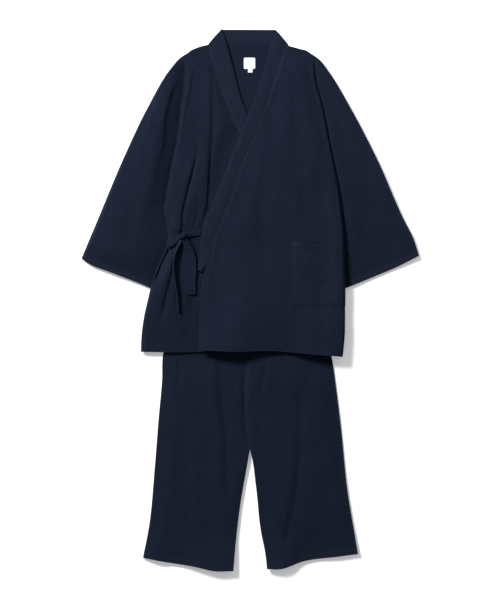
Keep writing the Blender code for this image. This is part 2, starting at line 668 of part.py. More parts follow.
def flat_tube(name, plan, top_gain, fold, thickness):
    """A tube laid flat. plan's columns run from its folded outer edge to its inner one."""
    outward = edge_normal(plan[:, 0], plan[:, 2])
    inward = edge_normal(plan[:, -1], plan[:, -3])
    plan = plan.copy()
    plan[:, 0] -= outward * (fold + thickness / 2)
    plan[:, -1] -= inward * (fold + thickness / 2)
    middle = thickness / 2 + fold

    def turn(line, direction, reach, upwards):
        """Half a turn of the cloth round an edge, as three columns."""
        columns = []
        for angle in np.radians(TUBE_TURNS):
            height = middle - upwards * reach * math.cos(angle)
            flat = line + direction * reach * math.sin(angle)
            columns.append(np.column_stack((flat, np.full(len(flat), height))))
        return np.stack(columns, axis=1)

    def ring(half):
        floor = np.full(plan.shape[:2] + (1,), thickness / 2 - half)
        lower = np.concatenate((plan, floor), axis=-1)[:, ::-2]
        upper = np.concatenate((plan, (middle + fold + half + top_gain)[..., None]), axis=-1)
        outer_turn = turn(plan[:, 0], outward, fold + half, 1)
        inner_turn = turn(plan[:, -1], inward, fold + half, -1)
        return np.concatenate((lower, outer_turn, upper, inner_turn, lower[:, :1]), axis=1)

    wall(name, ring(thickness / 2), ring(-thickness / 2), joined=True)


def make_sleeve(name, edge, cuff, side_name, sign):
    level = SLEEVE_LEVELS
    tucked_down = np.linspace(edge[0, 1] + 14, UNDERARM, 12)
    tucked = np.column_stack((side_edge(side_name, tucked_down) - sign * TUCK, tucked_down))
    armhole = np.concatenate((edge[:1], tucked[1:]))
    under_down = UNDERARM + (cuff[-1, 1] - UNDERARM) * level
    underarm = np.column_stack((side_edge(side_name, under_down) - sign * TUCK, under_down))
    underarm[-1] = cuff[-1]
    fold_edge = along(edge, level)
    across = np.tile(SLEEVE_ACROSS, (len(level), 1))

    def plan_at(part):
        return coons(
            lambda share: along(armhole, share), lambda share: along(cuff, share),
            fold_edge, underarm, part, level)

    plan = plan_at(drawn_in(across, 1, 9, plan_at, SLEEVE_FOLDS))
    gain = sleeve_height(plan[..., 0], plan[..., 1])
    gain[:, (0, -1)] = 0
    flat_tube(name, plan, gain, SLEEVE_FOLD, CLOTH)


def make_waistband():
    levels = np.linspace(WAIST_TOP, WAIST_BOTTOM - GAP, 3)
    x = np.linspace(*WAIST_ENDS, 13)
    plan = np.stack(np.broadcast_arrays(x[None, :], levels[:, None]), axis=-1)
    flat_tube("waistband", plan, np.zeros(plan.shape[:2]), (WAIST_WALL + GAP) / 2, WAIST_WALL)


# The trousers

def make_leg(name, side, inseam, hem, sign):
    """Front and back of one leg. sign is 1 for the left one."""
    inner_down = spaced((WAIST_BOTTOM, CROTCH, 12), (CROTCH, inseam[-1, 0], 12))
    outer_down = spaced((WAIST_BOTTOM, CROTCH, 12), (CROTCH, side[-1, 0], 12))
    seam = np.where(
        inner_down < CROTCH, edge_x(CENTRE_SEAM, inner_down), edge_x(inseam, inner_down))
    inner = np.column_stack((seam + sign * GAP, inner_down))
    outer = np.column_stack((edge_x(side, outer_down), outer_down))
    level = (inner_down - inner_down[0]) / (inner_down[-1] - inner_down[0])

    def top(part):
        return inner[0] + (outer[0] - inner[0]) * part[..., None]

    def plan_at(part):
        return coons(
            top, lambda share: hem_line(inner[-1], outer[-1], hem, share), inner, outer, part, level)

    across = np.tile(LEG_ACROSS, (len(level), 1))
    plan = plan_at(drawn_in(across, 1, 9, plan_at, TROUSER_FOLDS))
    laid("trouser_front_" + name, plan, trouser_height(plan[..., 0], plan[..., 1]))
    coarse = plan_at(across[:, ::2])[::2]
    laid("trouser_back_" + name, coarse, np.zeros(coarse.shape[:2]))


# Ties and label

def make_strap(name, table, carrier):
    """A strap that lies on the right front, its rows square to its own line."""
    shares = np.linspace(0, 1, 3 * len(table) + 1)
    line = along(table[:, :2], shares)
    keys = np.linspace(0, 1, len(table))
    widths = smooth(keys, column(table, STRAP_COLUMNS, "width"), shares)
    walls = smooth(keys, column(table, STRAP_COLUMNS, "wall"), shares)
    heading = np.gradient(line, axis=0)
    heading /= np.linalg.norm(heading, axis=-1, keepdims=True)
    square = np.column_stack((-heading[:, 1], heading[:, 0]))
    aside = widths[:, None] * STRAP_ACROSS[None, :]
    plan = line[:, None, :] + square[:, None, :] * aside[..., None]
    under = np.array([[carrier(*point) for point in row] for row in plan])
    under = np.concatenate((plan, under[..., None]), axis=-1)
    over = under.copy()
    over[..., 2] += walls[:, None] * STRAP_ROUND[None, :]
    wall(name, over, under)


def make_knot(carrier):
    width, depth, height = KNOT_SIZE
    angles = np.linspace(0, 2 * math.pi, KNOT_SIDES, endpoint=False)
    circle = np.column_stack((0.5 * width * np.cos(angles), 0.5 * depth * np.sin(angles)))
    base = max(carrier(*(circle_point + KNOT)) for circle_point in circle)
    knot = bmesh.new()
    rings = []
    for level, wide in KNOT_LEVELS:
        flat = circle * wide + KNOT
        heights = np.full(len(flat), base + height * level)
        ring = [knot.verts.new(point) for point in place(np.column_stack((flat, heights)))]
        rings.append([knot.edges.new((ring[i - 1], ring[i])) for i in range(len(ring))])
    for lower, upper in zip(rings, rings[1:]):
        bmesh.ops.bridge_loops(knot, edges=lower + upper)
    for ring in (rings[0], rings[-1]):
        bmesh.ops.contextual_create(knot, geom=ring)
    bmesh.ops.recalc_face_normals(knot, faces=knot.faces)
    mesh = bpy.data.meshes.new("tie_knot")
    knot.to_mesh(mesh)
    knot.free()
    thing = bpy.data.objects.new("tie_knot", mesh)
    bpy.context.collection.objects.link(thing)
    finish(thing, NAVY)


def make_ties(front):
    rows, columns = front.shape[:2]
    grid = [tuple(point) for point in front.reshape(-1, 3)]
    cells = []
    for row in range(rows - 1):
        for col in range(columns - 1):
            first = row * columns + col
            second, third, fourth = first + 1, first + columns + 1, first + columns
            # Each cell by both of its diagonals, so that the higher one is met.
            cells += [(first, second, third), (first, third, fourth)]
            cells += [(first, second, fourth), (second, third, fourth)]
    surface = BVHTree.FromPolygons(grid, cells)

    def carrier(x, down):
        """Height to rest at: clear of the front's cloth close round a point."""
        found = []
        for aside in CARRIED_ROUND:
            for onwards in CARRIED_ROUND:
                start = Vector((x + aside, down + onwards, 60))
                hit = surface.ray_cast(start, Vector((0, 0, -1)))
                if hit[0]:
                    found.append(hit[0].z)
        return max(found) + SEAM_GAP

    make_strap("tie_side", TIE_SIDE, carrier)
    make_strap("tie_front", TIE_FRONT, carrier)
    make_strap("tie_tail_left", TIE_TAIL_LEFT, carrier)
    make_strap("tie_tail_right", TIE_TAIL_RIGHT, carrier)
    make_knot(carrier)


def make_label(name, box):
    left, top, right, bottom = box
    x = np.linspace(left, right, 4)
    down = np.linspace(top, bottom, 4)
    plan = np.stack(np.broadcast_arrays(x[None, :], down[:, None]), axis=-1)
    laid(name, plan, np.full(plan.shape[:2], CLOTH + GAP), LABEL, WHITE)


for old in list(bpy.data.objects):
    bpy.data.objects.remove(old)

make_back()
left_front = make_left_front()
right_front = make_right_front()
make_pocket(left_front)
make_collar()
make_sleeve("sleeve_left", LEFT_SLEEVE, LEFT_CUFF, "left_side", 1)
make_sleeve("sleeve_right", RIGHT_SLEEVE, RIGHT_CUFF, "right_side", -1)
make_ties(right_front)
make_label("neck_label", LABEL_BOX)
make_label("size_tab", TAB_BOX)
make_leg("right", RIGHT_LEG_SIDE, RIGHT_INSEAM, RIGHT_LEG_HEM, -1)
make_leg("left", LEFT_LEG_SIDE, LEFT_INSEAM, LEFT_LEG_HEM, 1)
make_waistband()
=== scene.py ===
import math

import bmesh
import bpy
import numpy as np
from mathutils import Matrix, Vector, noise


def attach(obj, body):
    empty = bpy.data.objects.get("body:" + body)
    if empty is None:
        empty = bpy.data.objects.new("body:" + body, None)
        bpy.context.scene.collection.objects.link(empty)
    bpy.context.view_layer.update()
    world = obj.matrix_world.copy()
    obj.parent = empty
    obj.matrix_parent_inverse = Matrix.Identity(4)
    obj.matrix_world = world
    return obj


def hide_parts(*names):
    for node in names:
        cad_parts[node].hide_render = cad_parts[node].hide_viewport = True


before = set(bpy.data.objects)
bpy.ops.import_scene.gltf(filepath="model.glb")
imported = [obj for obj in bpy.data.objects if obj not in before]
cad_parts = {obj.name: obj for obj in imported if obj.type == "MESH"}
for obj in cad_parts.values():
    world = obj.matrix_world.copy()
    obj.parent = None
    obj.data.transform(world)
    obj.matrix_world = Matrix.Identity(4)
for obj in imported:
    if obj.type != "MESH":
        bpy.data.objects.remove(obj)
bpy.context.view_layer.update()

# Back of the jacket
# One panel of navy cotton from the shoulders to the hem. The cloth has slubs in both its yarns. The
# sleeves are sewn to the back's sides and the fronts lie on it, so only the neck opening shows it.

# Places are in millimetres: x from the centre line towards the wearer's left, down from the top of
# the collar, and height above the surface that the set lies on.
LENGTH = 1327.2  # of the whole set
CLOTH = 1.2  # the wall of the cotton
GAP = 0.3  # between two layers
PITCH = CLOTH + GAP
TUCK = 12.0  # how far the sleeves run in under the sides of the fronts
HIDDEN_EDGE = 1.8  # how far the back stays inside what covers its sides
CUFF_LEVEL = 637.0  # where the cuffs meet the body
WAISTBAND_STACK = 3.8  # height of the waistband under the jacket
SEAM = 0.03  # between two edges that are sewn together
NECK_POINTS = ((-101.5, 38.4 + SEAM), (92.3, 41.0 + SEAM))

BODY = np.array((
    # down, right side, left side, roll of the right edge, roll of the left edge
    (71, -161, 154, 0.8, 0.8),
    (88, -160.5, 155.5, 0.9, 2.2),
    (125, -161.5, 158.5, 1.2, 3.2),
    (181, -168, 173.5, 1.8, 3.8),
    (282, -182, 193.3, 2.8, 4.8),
    (338, -193, 205, 3.6, 5.6),
    (407, -206, 219, 5.0, 6.0),
    (441, -211, 223, 6.0, 7.2),
    (468, -208, 226, 6.5, 8.6),
    (512, -202, 230, 7.0, 10.5),
    (535, -206, 230, 8.0, 11.0),
    (556, -215, 231, 8.5, 11.5),
    (586, -228, 231, 9.0, 11.5),
    (620, -240, 232, 9.0, 11.0),
    (661, -250, 232, 8.0, 10.5),
    (700, -259, 232, 6.0, 10.0),
    (750, -266, 231, 4.0, 9.0),
    (803, -268, 226, 2.5, 6.5),
))
RIGHT_SIDE, LEFT_SIDE, RIGHT_ROLL, LEFT_ROLL = 1, 2, 3, 4
BACK_SIDES = (
    # side, down and x at the shoulder, down at the hem, which way inwards is
    (RIGHT_SIDE, 58.0, -150, 791.0, 1),
    (LEFT_SIDE, 57.5, 143, 803.0, -1),
)


def smooth(keys, values, at):
    """A smooth curve through values at keys, read at other places."""
    slopes = np.gradient(values, keys, axis=0)
    at = np.clip(np.asarray(at, dtype=float), keys[0], keys[-1])
    index = np.clip(np.searchsorted(keys, at, side="right") - 1, 0, len(keys) - 2)
    span = keys[index + 1] - keys[index]
    part = (at - keys[index]) / span
    if values.ndim > 1:
        span, part = span[..., None], part[..., None]
    start = (1 + 2 * part) * (1 - part) ** 2 * values[index]
    leave = part * (1 - part) ** 2 * slopes[index] * span
    arrive = part ** 2 * (part - 1) * slopes[index + 1] * span
    end = part ** 2 * (3 - 2 * part) * values[index + 1]
    return start + leave + arrive + end


def step(low, high, value):
    """0 below low and 1 above high, with a soft rise between them."""
    part = np.clip((value - low) / (high - low), 0.0, 1.0)
    return part * part * (3 - 2 * part)


def body(column, down):
    """x of a side edge of the body, or its roll, as far down as asked."""
    return smooth(BODY[:, 0], BODY[:, column], down)


def straight(start, end, share):
    """Points on a straight line, by their share of its length."""
    return start + (end - start) * share[..., None]


def between(top, bottom, left, right, across, level):
    """Fills four edge lines with points. across is a share for each point, level for each row.

    top and bottom are already read at each point's share, and left and right at each row's.
    """
    down = level[:, None, None]
    side = across[:, :, None]
    rows = (1 - down) * top + down * bottom
    sides = (1 - side) * left[:, None, :] + side * right[:, None, :]
    upper = (1 - side) * left[0] + side * right[0]
    lower = (1 - side) * left[-1] + side * right[-1]
    return rows + sides - (1 - down) * upper - down * lower


def place(points):
    """From x, down and height in millimetres to metres in the part's frame."""
    points = np.asarray(points, dtype=float)
    return np.stack((points[..., 0], LENGTH / 2 - points[..., 1], points[..., 2]), axis=-1) * 0.001


def steepness(points):
    """How much taller a wall is, measured upwards, where its surface is steep."""
    normal = np.cross(np.gradient(points, axis=0), np.gradient(points, axis=1))
    return np.clip(np.linalg.norm(normal, axis=-1) / np.abs(normal[..., 2]), 1.0, 1.6)


def plain_material(name, roughness):
    material = bpy.data.materials.new(name)
    material.use_nodes = True
    shader = material.node_tree.nodes["Principled BSDF"]
    shader.inputs["Roughness"].default_value = roughness
    return material, shader


def shaded(tree, value, dark, light, ends=(0.0, 1.0)):
    """A colour between dark and light, as value goes from one end to the other."""
    shade = tree.nodes.new("ShaderNodeValToRGB")
    for index, colour in enumerate((dark, light)):
        shade.color_ramp.elements[index].position = ends[index]
        shade.color_ramp.elements[index].color = (*colour, 1)
    tree.links.new(value, shade.inputs["Fac"])
    return shade.outputs["Color"]


def embossed(tree, height, strength, distance):
    """Relief too small for the mesh, which only the light shows."""
    relief = tree.nodes.new("ShaderNodeBump")
    relief.inputs["Strength"].default_value = strength
    relief.inputs["Distance"].default_value = distance
    tree.links.new(height, relief.inputs["Height"])
    return relief


def yarns(tree, direction, scale, distortion):
    """Bands of yarn across the grain of the cloth."""
    grain = tree.nodes.new("ShaderNodeAttribute")
    grain.attribute_name = "grain"
    bands = tree.nodes.new("ShaderNodeTexWave")
    bands.bands_direction = direction
    bands.inputs["Scale"].default_value = scale
    bands.inputs["Distortion"].default_value = distortion
    tree.links.new(grain.outputs["Vector"], bands.inputs["Vector"])
    return bands.outputs["Fac"]


def cotton_cloth(name, dark, light, wear_and_highlight, yarn=0.9):
    """Plain cotton: slubs in warp and weft, a fine weave, and paler colour for wear and painted highlight.
    """
    cotton, shader = plain_material(name, roughness=0.85)
    tree = cotton.node_tree
    nodes, links = tree.nodes, tree.links
    shader.inputs["Specular IOR Level"].default_value = 0.05
    shader.inputs["Sheen Weight"].default_value = 0.02
    shader.inputs["Sheen Roughness"].default_value = 0.5
    shader.inputs["Sheen Tint"].default_value = (0.5, 0.6, 0.9, 1)
    grain = nodes.new("ShaderNodeAttribute")
    grain.attribute_name = "grain"
    wear_and_highlight_mask = nodes.new("ShaderNodeAttribute")
    wear_and_highlight_mask.attribute_name = "wear_and_highlight"

    def streaks(across, lengthwise):
        size = nodes.new("ShaderNodeVectorMath")
        size.operation = "MULTIPLY"
        size.inputs[1].default_value = (1 / across, 1 / lengthwise, 1)
        links.new(grain.outputs["Vector"], size.inputs[0])
        pattern = nodes.new("ShaderNodeTexNoise")
        pattern.inputs["Scale"].default_value = 1.0
        pattern.inputs["Detail"].default_value = 2.0
        links.new(size.outputs["Vector"], pattern.inputs["Vector"])
        return pattern.outputs["Fac"]

    def combine(operation, first, second):
        node = nodes.new("ShaderNodeMath")
        node.operation = operation
        for socket, value in zip(node.inputs, (first, second)):
            if isinstance(value, (int, float)):
                socket.default_value = value
            else:
                links.new(value, socket)
        return node.outputs["Value"]

    warp, weft, broad = streaks(2.6, 26.0), streaks(22.0, 2.8), streaks(110.0, 190.0)
    slubs = combine("ADD", combine("MULTIPLY", warp, 0.5), combine("MULTIPLY", weft, 0.5))
    tone = combine("ADD", combine("MULTIPLY", slubs, 0.88), combine("MULTIPLY", broad, 0.12))
    paler = nodes.new("ShaderNodeMix")
    paler.data_type = "RGBA"
    # The mask pales the colour: wear, and painted highlight along lit edges, seams and folds.
    links.new(combine("MULTIPLY", wear_and_highlight_mask.outputs["Fac"], combine("ADD", slubs, 0.35)), paler.inputs[0])
    links.new(shaded(tree, tone, dark, light, ends=(0.36, 0.66)), paler.inputs[6])
    paler.inputs[7].default_value = (*wear_and_highlight, 1)
    links.new(paler.outputs[2], shader.inputs["Base Color"])

    band = 0.314 / yarn  # the scale at which a band is as wide as the yarn
    warp_bands, weft_bands = (yarns(tree, way, scale=band, distortion=0.6) for way in "XY")
    weave = combine("ADD", combine("MULTIPLY", warp_bands, weft_bands), combine("MULTIPLY", slubs, 1.4))
    fine = embossed(tree, weave, strength=0.4, distance=0.0002)
    pucker = embossed(tree, streaks(16.0, 24.0), strength=0.5, distance=0.0006)
    links.new(fine.outputs["Normal"], pucker.inputs["Normal"])
    links.new(pucker.outputs["Normal"], shader.inputs["Normal"])
    return cotton


# Its pale colour stands for wear and for painted highlight on edges, seams and folds.
NAVY_COTTON = cotton_cloth(
    "navy_cotton", dark=(0.0052, 0.0078, 0.0168), light=(0.0078, 0.0114, 0.0238),
    wear_and_highlight=(0.0135, 0.0180, 0.0330))


def finished(name, made, nodes=(), crease=None, material=NAVY_COTTON):
    """A piece of the set from its worked mesh. crease is the angle from which its edges stay sharp."""
    mesh = bpy.data.meshes.new(name)
    made.to_mesh(mesh)
    made.free()
    mesh.materials.append(material)
    mesh.shade_smooth()
    if crease:
        mesh.set_sharp_from_angle(angle=math.radians(crease))
    piece = bpy.data.objects.new(name, mesh)
    bpy.context.collection.objects.link(piece)
    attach(piece, "root")
    if nodes:
        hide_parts(*nodes)
    return piece


def cloth(
    name, outer, inner, nodes, grain=None, wear_and_highlight=0.0, joined=False,
    material=NAVY_COTTON,
):
    """A closed shell between two grids of points. joined closes the rows round into a tube."""
    rows, columns = outer.shape[:2]
    grain = outer[..., :2] if grain is None else grain
    wear_and_highlight = np.clip(np.broadcast_to(wear_and_highlight, (rows, columns)), 0, 1)
    outer_at, inner_at = place(outer), place(inner)
    shell = bmesh.new()
    bmesh.ops.create_grid(shell, x_segments=columns - 1, y_segments=rows - 1, size=1.0)
    shift = shell.verts.layers.float_vector.new("shift")
    thread = shell.verts.layers.float_vector.new("grain")
    wear_and_highlight_mask = shell.verts.layers.float.new("wear_and_highlight")
    for index, vertex in enumerate(shell.verts):
        at = divmod(index, columns)
        vertex.co = outer_at[at]
        vertex[shift] = inner_at[at] - outer_at[at]
        vertex[thread] = (*grain[at], 0.0)
        vertex[wear_and_highlight_mask] = wear_and_highlight[at]
    if joined:
        bmesh.ops.remove_doubles(shell, verts=shell.verts, dist=1e-6)
    pulled = bmesh.ops.extrude_face_region(shell, geom=shell.faces, use_keep_orig=True)
    for vertex in (item for item in pulled["geom"] if isinstance(item, bmesh.types.BMVert)):
        vertex.co += Vector(vertex[shift])
    bmesh.ops.recalc_face_normals(shell, faces=shell.faces)
    shell.verts.layers.float_vector.remove(shell.verts.layers.float_vector["shift"])
    return finished(name, shell, nodes, crease=60, material=material)


def laid_panel(name, plan, height, nodes, wear_and_highlight=0.0, thickness=CLOTH):
    """A panel whose underside is at a height, with its wall above it. Returns its upper points."""
    under = np.concatenate((plan, height[..., None]), axis=-1)
    over = under.copy()
    over[..., 2] += thickness * steepness(under)
    return cloth(name, over, under, nodes, wear_and_highlight=wear_and_highlight), over


def back_plan():
    level = np.linspace(0, 1, 90)
    sides = []
    for column, top, shoulder, hem, inwards in BACK_SIDES:
        down = top + (hem - 5 - top) * level
        tucked = 1 - step(CUFF_LEVEL + 10, CUFF_LEVEL + 60, down)
        inset = HIDDEN_EDGE + (TUCK + HIDDEN_EDGE) * tucked
        side = np.column_stack((body(column, down) + inwards * inset, down))
        side[0, 0] = shoulder + inwards * PITCH
        sides.append(side)
    right, left = sides
    across = np.tile(np.linspace(0, 1, 61), (len(level), 1))
    x = right[0, 0] + (left[0, 0] - right[0, 0]) * across
    shoulders = np.array((right[0], *NECK_POINTS, left[0]))
    shoulder_line = np.stack((x, np.interp(x, shoulders[:, 0], shoulders[:, 1])), axis=-1)
    return between(shoulder_line, straight(right[-1], left[-1], across), right, left, across, level)


plan = back_plan()
jacket_back, _ = laid_panel(
    "jacket_back_panel", plan, WAISTBAND_STACK * step(560, 640, plan[..., 1]), ["jacket_back"])

# Right front
# A cotton panel sewn to the back at the shoulder and the side. It lies under the left front as far as
# its own free edge. The tie gathers it, so long folds run down to the knot and out again below it.
# Their right sides are steep and in shadow.

BAND = 2.2  # the collar's wall
SLEEVE_FOLD = 1.2  # radius of a sleeve's fold, to the middle of its wall
FRONT_LOFT = 6.0  # how far the open cloth stands off what it lies on
COLLAR_END = 595.5
TIE_GROOVE = 6.2  # how far in from the side the tie pulls the cloth down
RIGHT_COLLAR = np.array((
    # down and x at the seam, down and x at the free edge
    (38.4, -101.5, 1.8, -67.9),
    (54, -98.5, 18, -63),
    (92, -87, 80, -46),
    (130, -76.4, 115, -37),
    (201, -49.5, 184, -17),
    (255, -25, 238, 9),
    (331, 6, 315, 42),
    (394, 29, 380, 66),
    (453, 51, 438, 90),
    (492, 68, 476, 106),
    (519, 78, 508, 113),
    (559, 86, 550, 120),
    (COLLAR_END, 108, 591, 122),
))
RIGHT_FREE = ((COLLAR_END, 108), (640, 113), (698, 118), (784, 120))
COVER = (
    # down and x of the line that the left front covers it from
    (182, 1), (234, -17), (315, -50), (380, -74), (438, -98), (476, -114), (508, -121), (550, -126.5),
    (591, -128), (640, -128), (800, -126),
)
RIGHT_SHOULDER = ((-127, 45), (-150, 57), (-161, 74))
RIGHT_LEVELS = ((38.4, 505, 679, 784), (74, 533, 679, 791))  # down at the centre edge and the side
RIGHT_HEM = ((0, 0), (0.5, 2), (0.85, 2), (1, 0))
# Distances from an edge that the grid has its closer columns or rows at
SIDE_INSETS = (18, 14, 11, 9, 7.4, 6, 4.8, 3.6, 2.6, 1.7, 0.9, 0.3, 0)
HEM_INSETS = (26, 22, 20, 19, 18.2, 17.4, 16.5, 15, 12, 9, 6, 3.5, 1.8, 0.7, 0)
HEM_STITCH = 18.0

FRONT_TROUGHS = (
    # depth as a share of the loft, half width, points as x and down
    (0.72, 7, ((-128, 272), (-141, 348), (-157, 407), (-166, 450), (-168, 505))),
    (0.35, 9, ((-100, 60), (-94, 140), (-92, 223), (-94, 330))),
    (0.45, 8, ((-94, 250), (-98, 330), (-104, 410), (-108, 450), (-117, 495))),
    (0.50, 9, ((-136, 90), (-150, 174), (-160, 223), (-163, 310))),
    (0.50, 12, ((-186, 550), (-207, 652), (-228, 735))),
    (0.75, 9, ((-174, 525), (-177, 590), (-168, 690))),
    (0.34, 18, ((102, 95), (108, 220), (120, 370))),
    (0.30, 14, ((137, 150), (152, 200), (164, 250))),
    (0.50, 24, ((48, 190), (39, 282), (27, 394), (33, 620))),
    (0.34, 16, ((122, 370), (130, 430), (139, 500))),
    (0.25, 18, ((106, 690), (101, 740), (97, 790))),
    (0.25, 26, ((-30, 520), (-42, 620), (-40, 740))),
)
RIGHT_FOLDS = (
    # height, width of the left and the right side, where it fades in and out, points
    (3.6, 18, 3.0, 0.40, 0.05,
     ((-126, 272), (-134, 306), (-145, 348), (-160, 407), (-169, 450), (-173, 503))),
    (1.5, 12, 5.0, 0.20, 0.30, ((-104, 70), (-99, 120), (-99, 223), (-101, 320))),
    (3.8, 15, 2.8, 0.50, 0.08, ((-99, 250), (-103, 330), (-108, 410), (-111, 450), (-122, 500))),
    (2.3, 9, 4.5, 0.15, 0.50, ((-141, 85), (-147, 120), (-155, 174), (-165, 223), (-170, 310))),
    (2.9, 16, 4.4, 0.15, 0.45, ((-189, 548), (-200, 610), (-212, 655), (-233, 740))),
    (1.6, 13, 6.0, 0.20, 0.40, ((-152, 540), (-150, 620), (-155, 720))),
    (0.8, 5, 2.5, 0.40, 0.20, ((-137, 420), (-138, 455), (-142, 490))),
    (1.0, 6, 3.0, 0.50, 0.20, ((-186, 430), (-184, 470), (-177, 503))),
)
RIGHT_GUIDES = (
    # down and x of the lines that the grid's columns follow
    ((38, -105), (80, -103), (223, -99), (330, -103), (410, -109), (450, -113), (498, -122), (600, -134),
     (800, -140)),
    ((38, -119), (80, -120), (262, -125), (306, -134), (348, -145), (407, -160), (450, -169), (503, -173),
     (548, -189), (610, -200), (655, -212), (740, -233), (800, -238)),
    ((38, -132), (85, -141), (120, -147), (174, -155), (223, -165), (310, -170), (400, -186), (503, -188),
     (560, -203), (650, -231), (800, -255)),
)


def curve(table, at):
    """A smooth curve through a table's rows of place and value, read at other places."""
    table = np.asarray(table, dtype=float)
    return smooth(table[:, 0], table[:, 1], at)


def along(points, share):
    """Points on a smooth line through a few given ones, by their share of its length."""
    points = np.asarray(points, dtype=float)
    chords = np.linalg.norm(np.diff(points, axis=0), axis=1)
    keys = np.concatenate(((0.0,), np.cumsum(chords))) / chords.sum()
    return smooth(keys, points, share)


def shares(length, start, count, end):
    """Even shares of a length, with closer ones at set distances from its start and its end."""
    start, end = np.asarray(start) / length, 1 - np.asarray(end) / length
    return np.concatenate((start, np.linspace(start[-1], end[0], count + 2)[1:-1], end))


def hem_line(start, end, hem, share):
    """The line a hem hangs in: straight, and lower by the hem's own table."""
    line = straight(start, end, share)
    line[..., 1] += curve(hem, share)
    return line


def near(distance, width):
    """1 on a line and less away from it, with very little left at twice the width."""
    return np.exp(-((distance / width) ** 2))


def beside(points, x, down):
    """How far a place is to the right of a line that runs down the cloth, and how far down the line."""
    points = np.asarray(points, dtype=float)
    part = (down - points[0, 1]) / (points[-1, 1] - points[0, 1])
    return x - smooth(points[:, 1], points[:, 0], down), part


def relief(troughs, x, down):
    """How much of the loft is left at a point, between 0 in a deep trough and 1."""
    left = np.ones_like(x)
    for depth, half_width, points in troughs:
        aside, part = beside(points, x, down)
        taper = step(-0.1, 0.3, part) * (1 - step(0.7, 1.1, part))
        left = left * (1 - depth * taper * near(aside, half_width))
    return left


def folds(table, x, down):
    """Ridges that run down the cloth, each with its own slope to the left and to the right."""
    height = np.zeros_like(x)
    for rise, left, right, fade_in, fade_out, points in table:
        aside, part = beside(points, x, down)
        fade = step(0, fade_in, part) * (1 - step(1 - fade_out, 1, part))
        height += rise * fade * near(aside, np.where(aside < 0, left, right))
    return height


def rumple(x, down, size, height, seed):
    """Slight unevenness of the cloth, longer down it than across it."""
    spots = zip((x / size).ravel(), (down / (1.7 * size)).ravel())
    values = [noise.noise(Vector((across, onwards, seed))) for across, onwards in spots]
    return height * np.reshape(values, x.shape)


def side_roll(roll, down, inward, reach, fade, flat=14, roundness=0.5):
    """A front's side edge, rolled over the sleeve: it rises over reach and falls from flat to fade."""
    turn = np.clip(inward / reach, 0, 1)
    rolled = body(roll, down) * (1 - (1 - turn) ** 2) ** roundness * (1 - step(flat, fade, inward))
    sleeve = (2 * SLEEVE_FOLD + 0.2) * (1 - step(CUFF_LEVEL, CUFF_LEVEL + 50, down))
    return rolled + sleeve * (1 - step(TUCK + 6, 46, inward))


def neck_lift(x, down):
    """The fronts lie a little higher beside the neck, on the collar behind it."""
    return (BAND - CLOTH + 0.2) * (1 - step(60, 110, down)) * (1 - step(98, 135, np.abs(x)))


def waist_lift(down):
    """The fronts lie higher over the waistband, and stay so down to the hem."""
    return WAISTBAND_STACK * step(540, 622, down)


def stitched_hem(from_edge, stitch, x):
    """Cloth turned up and stitched: thicker up to the stitching, which pulls a groove in it."""
    turned = 0.7 * (1 - step(stitch + 0.5, stitch + 3.5, from_edge))
    groove = 0.55 * near(from_edge - stitch, 1.1)
    pull = 0.22 * np.sin(x / 1.55 + 1.4 * np.sin(x / 11)) * near(from_edge - stitch, 7)
    return turned - groove + pull


def hem_distance(x, down, free, levels, hem, column):
    """How far a place on a front is above the hem."""
    centre_x, centre_down, side_down = free[-1][1], levels[0][-1], levels[1][-1]
    share = (x - centre_x) / (body(column, side_down) - centre_x)
    return np.maximum(centre_down + (side_down - centre_down) * share + curve(hem, share) - down, 0)


def right_front_under(x, down):
    """Underside of the right front and its collar."""
    inward = np.maximum(x - body(RIGHT_SIDE, down), 0)
    seam = curve(RIGHT_COLLAR, down)
    covered = x - np.minimum(curve(COVER, down), seam + 20)
    shown = 1 - step(-58, -8, covered)
    loft = FRONT_LOFT * shown * step(5, 80, inward) * step(50, 110, down)
    loft = loft * (1 - 0.7 * step(690, 800, down)) * relief(FRONT_TROUGHS, x, down)
    open_cloth = step(0, 16, seam - x) * (1 - step(-16, -2, covered)) * step(0, 14, inward)
    detail = folds(RIGHT_FOLDS, x, down) + rumple(x, down, 30, 0.8, 3.0) + rumple(x, down, 10, 0.2, 8.0)
    base = PITCH + waist_lift(down) + neck_lift(x, down)
    tied = step(526, 543, down) * (1 - step(600, 645, down))
    pulled = inward - TIE_GROOVE
    groove = 7.5 * tied * near(pulled, np.where(pulled < 0, 2.2, 15))
    reach = 17.0 - 4.0 * step(400, 500, down)
    lowest = base + side_roll(RIGHT_ROLL, down, inward, reach, fade=110, roundness=1.0 - 0.5 * tied)
    return np.maximum(lowest - groove + loft + detail * open_cloth, np.minimum(lowest, base))


def front_plan(collar, free, shoulder, levels, hem, column, sign, rows, columns):
    """The plan of a front, from its centre edge to its side edge. sign is 1 for the left one."""
    length = levels[0][-1] - levels[0][0]
    level = shares(length, (0, 2, 5), rows, HEM_INSETS)
    centre_down = levels[0][0] + length * level
    side_down = np.interp(centre_down, levels[0], levels[1])
    centre_x = np.where(centre_down < COLLAR_END, curve(collar, centre_down), curve(free, centre_down))
    centre = np.column_stack((centre_x + sign * SEAM, centre_down))
    centre[0, 1] += SEAM
    side = np.column_stack((body(column, side_down), side_down))
    across = np.array([columns(*ends) for ends in zip(centre, side)])
    shoulder_line = along((tuple(centre[0]),) + shoulder, across)
    return between(
        shoulder_line, hem_line(centre[-1], side[-1], hem, across), centre, side, across, level)


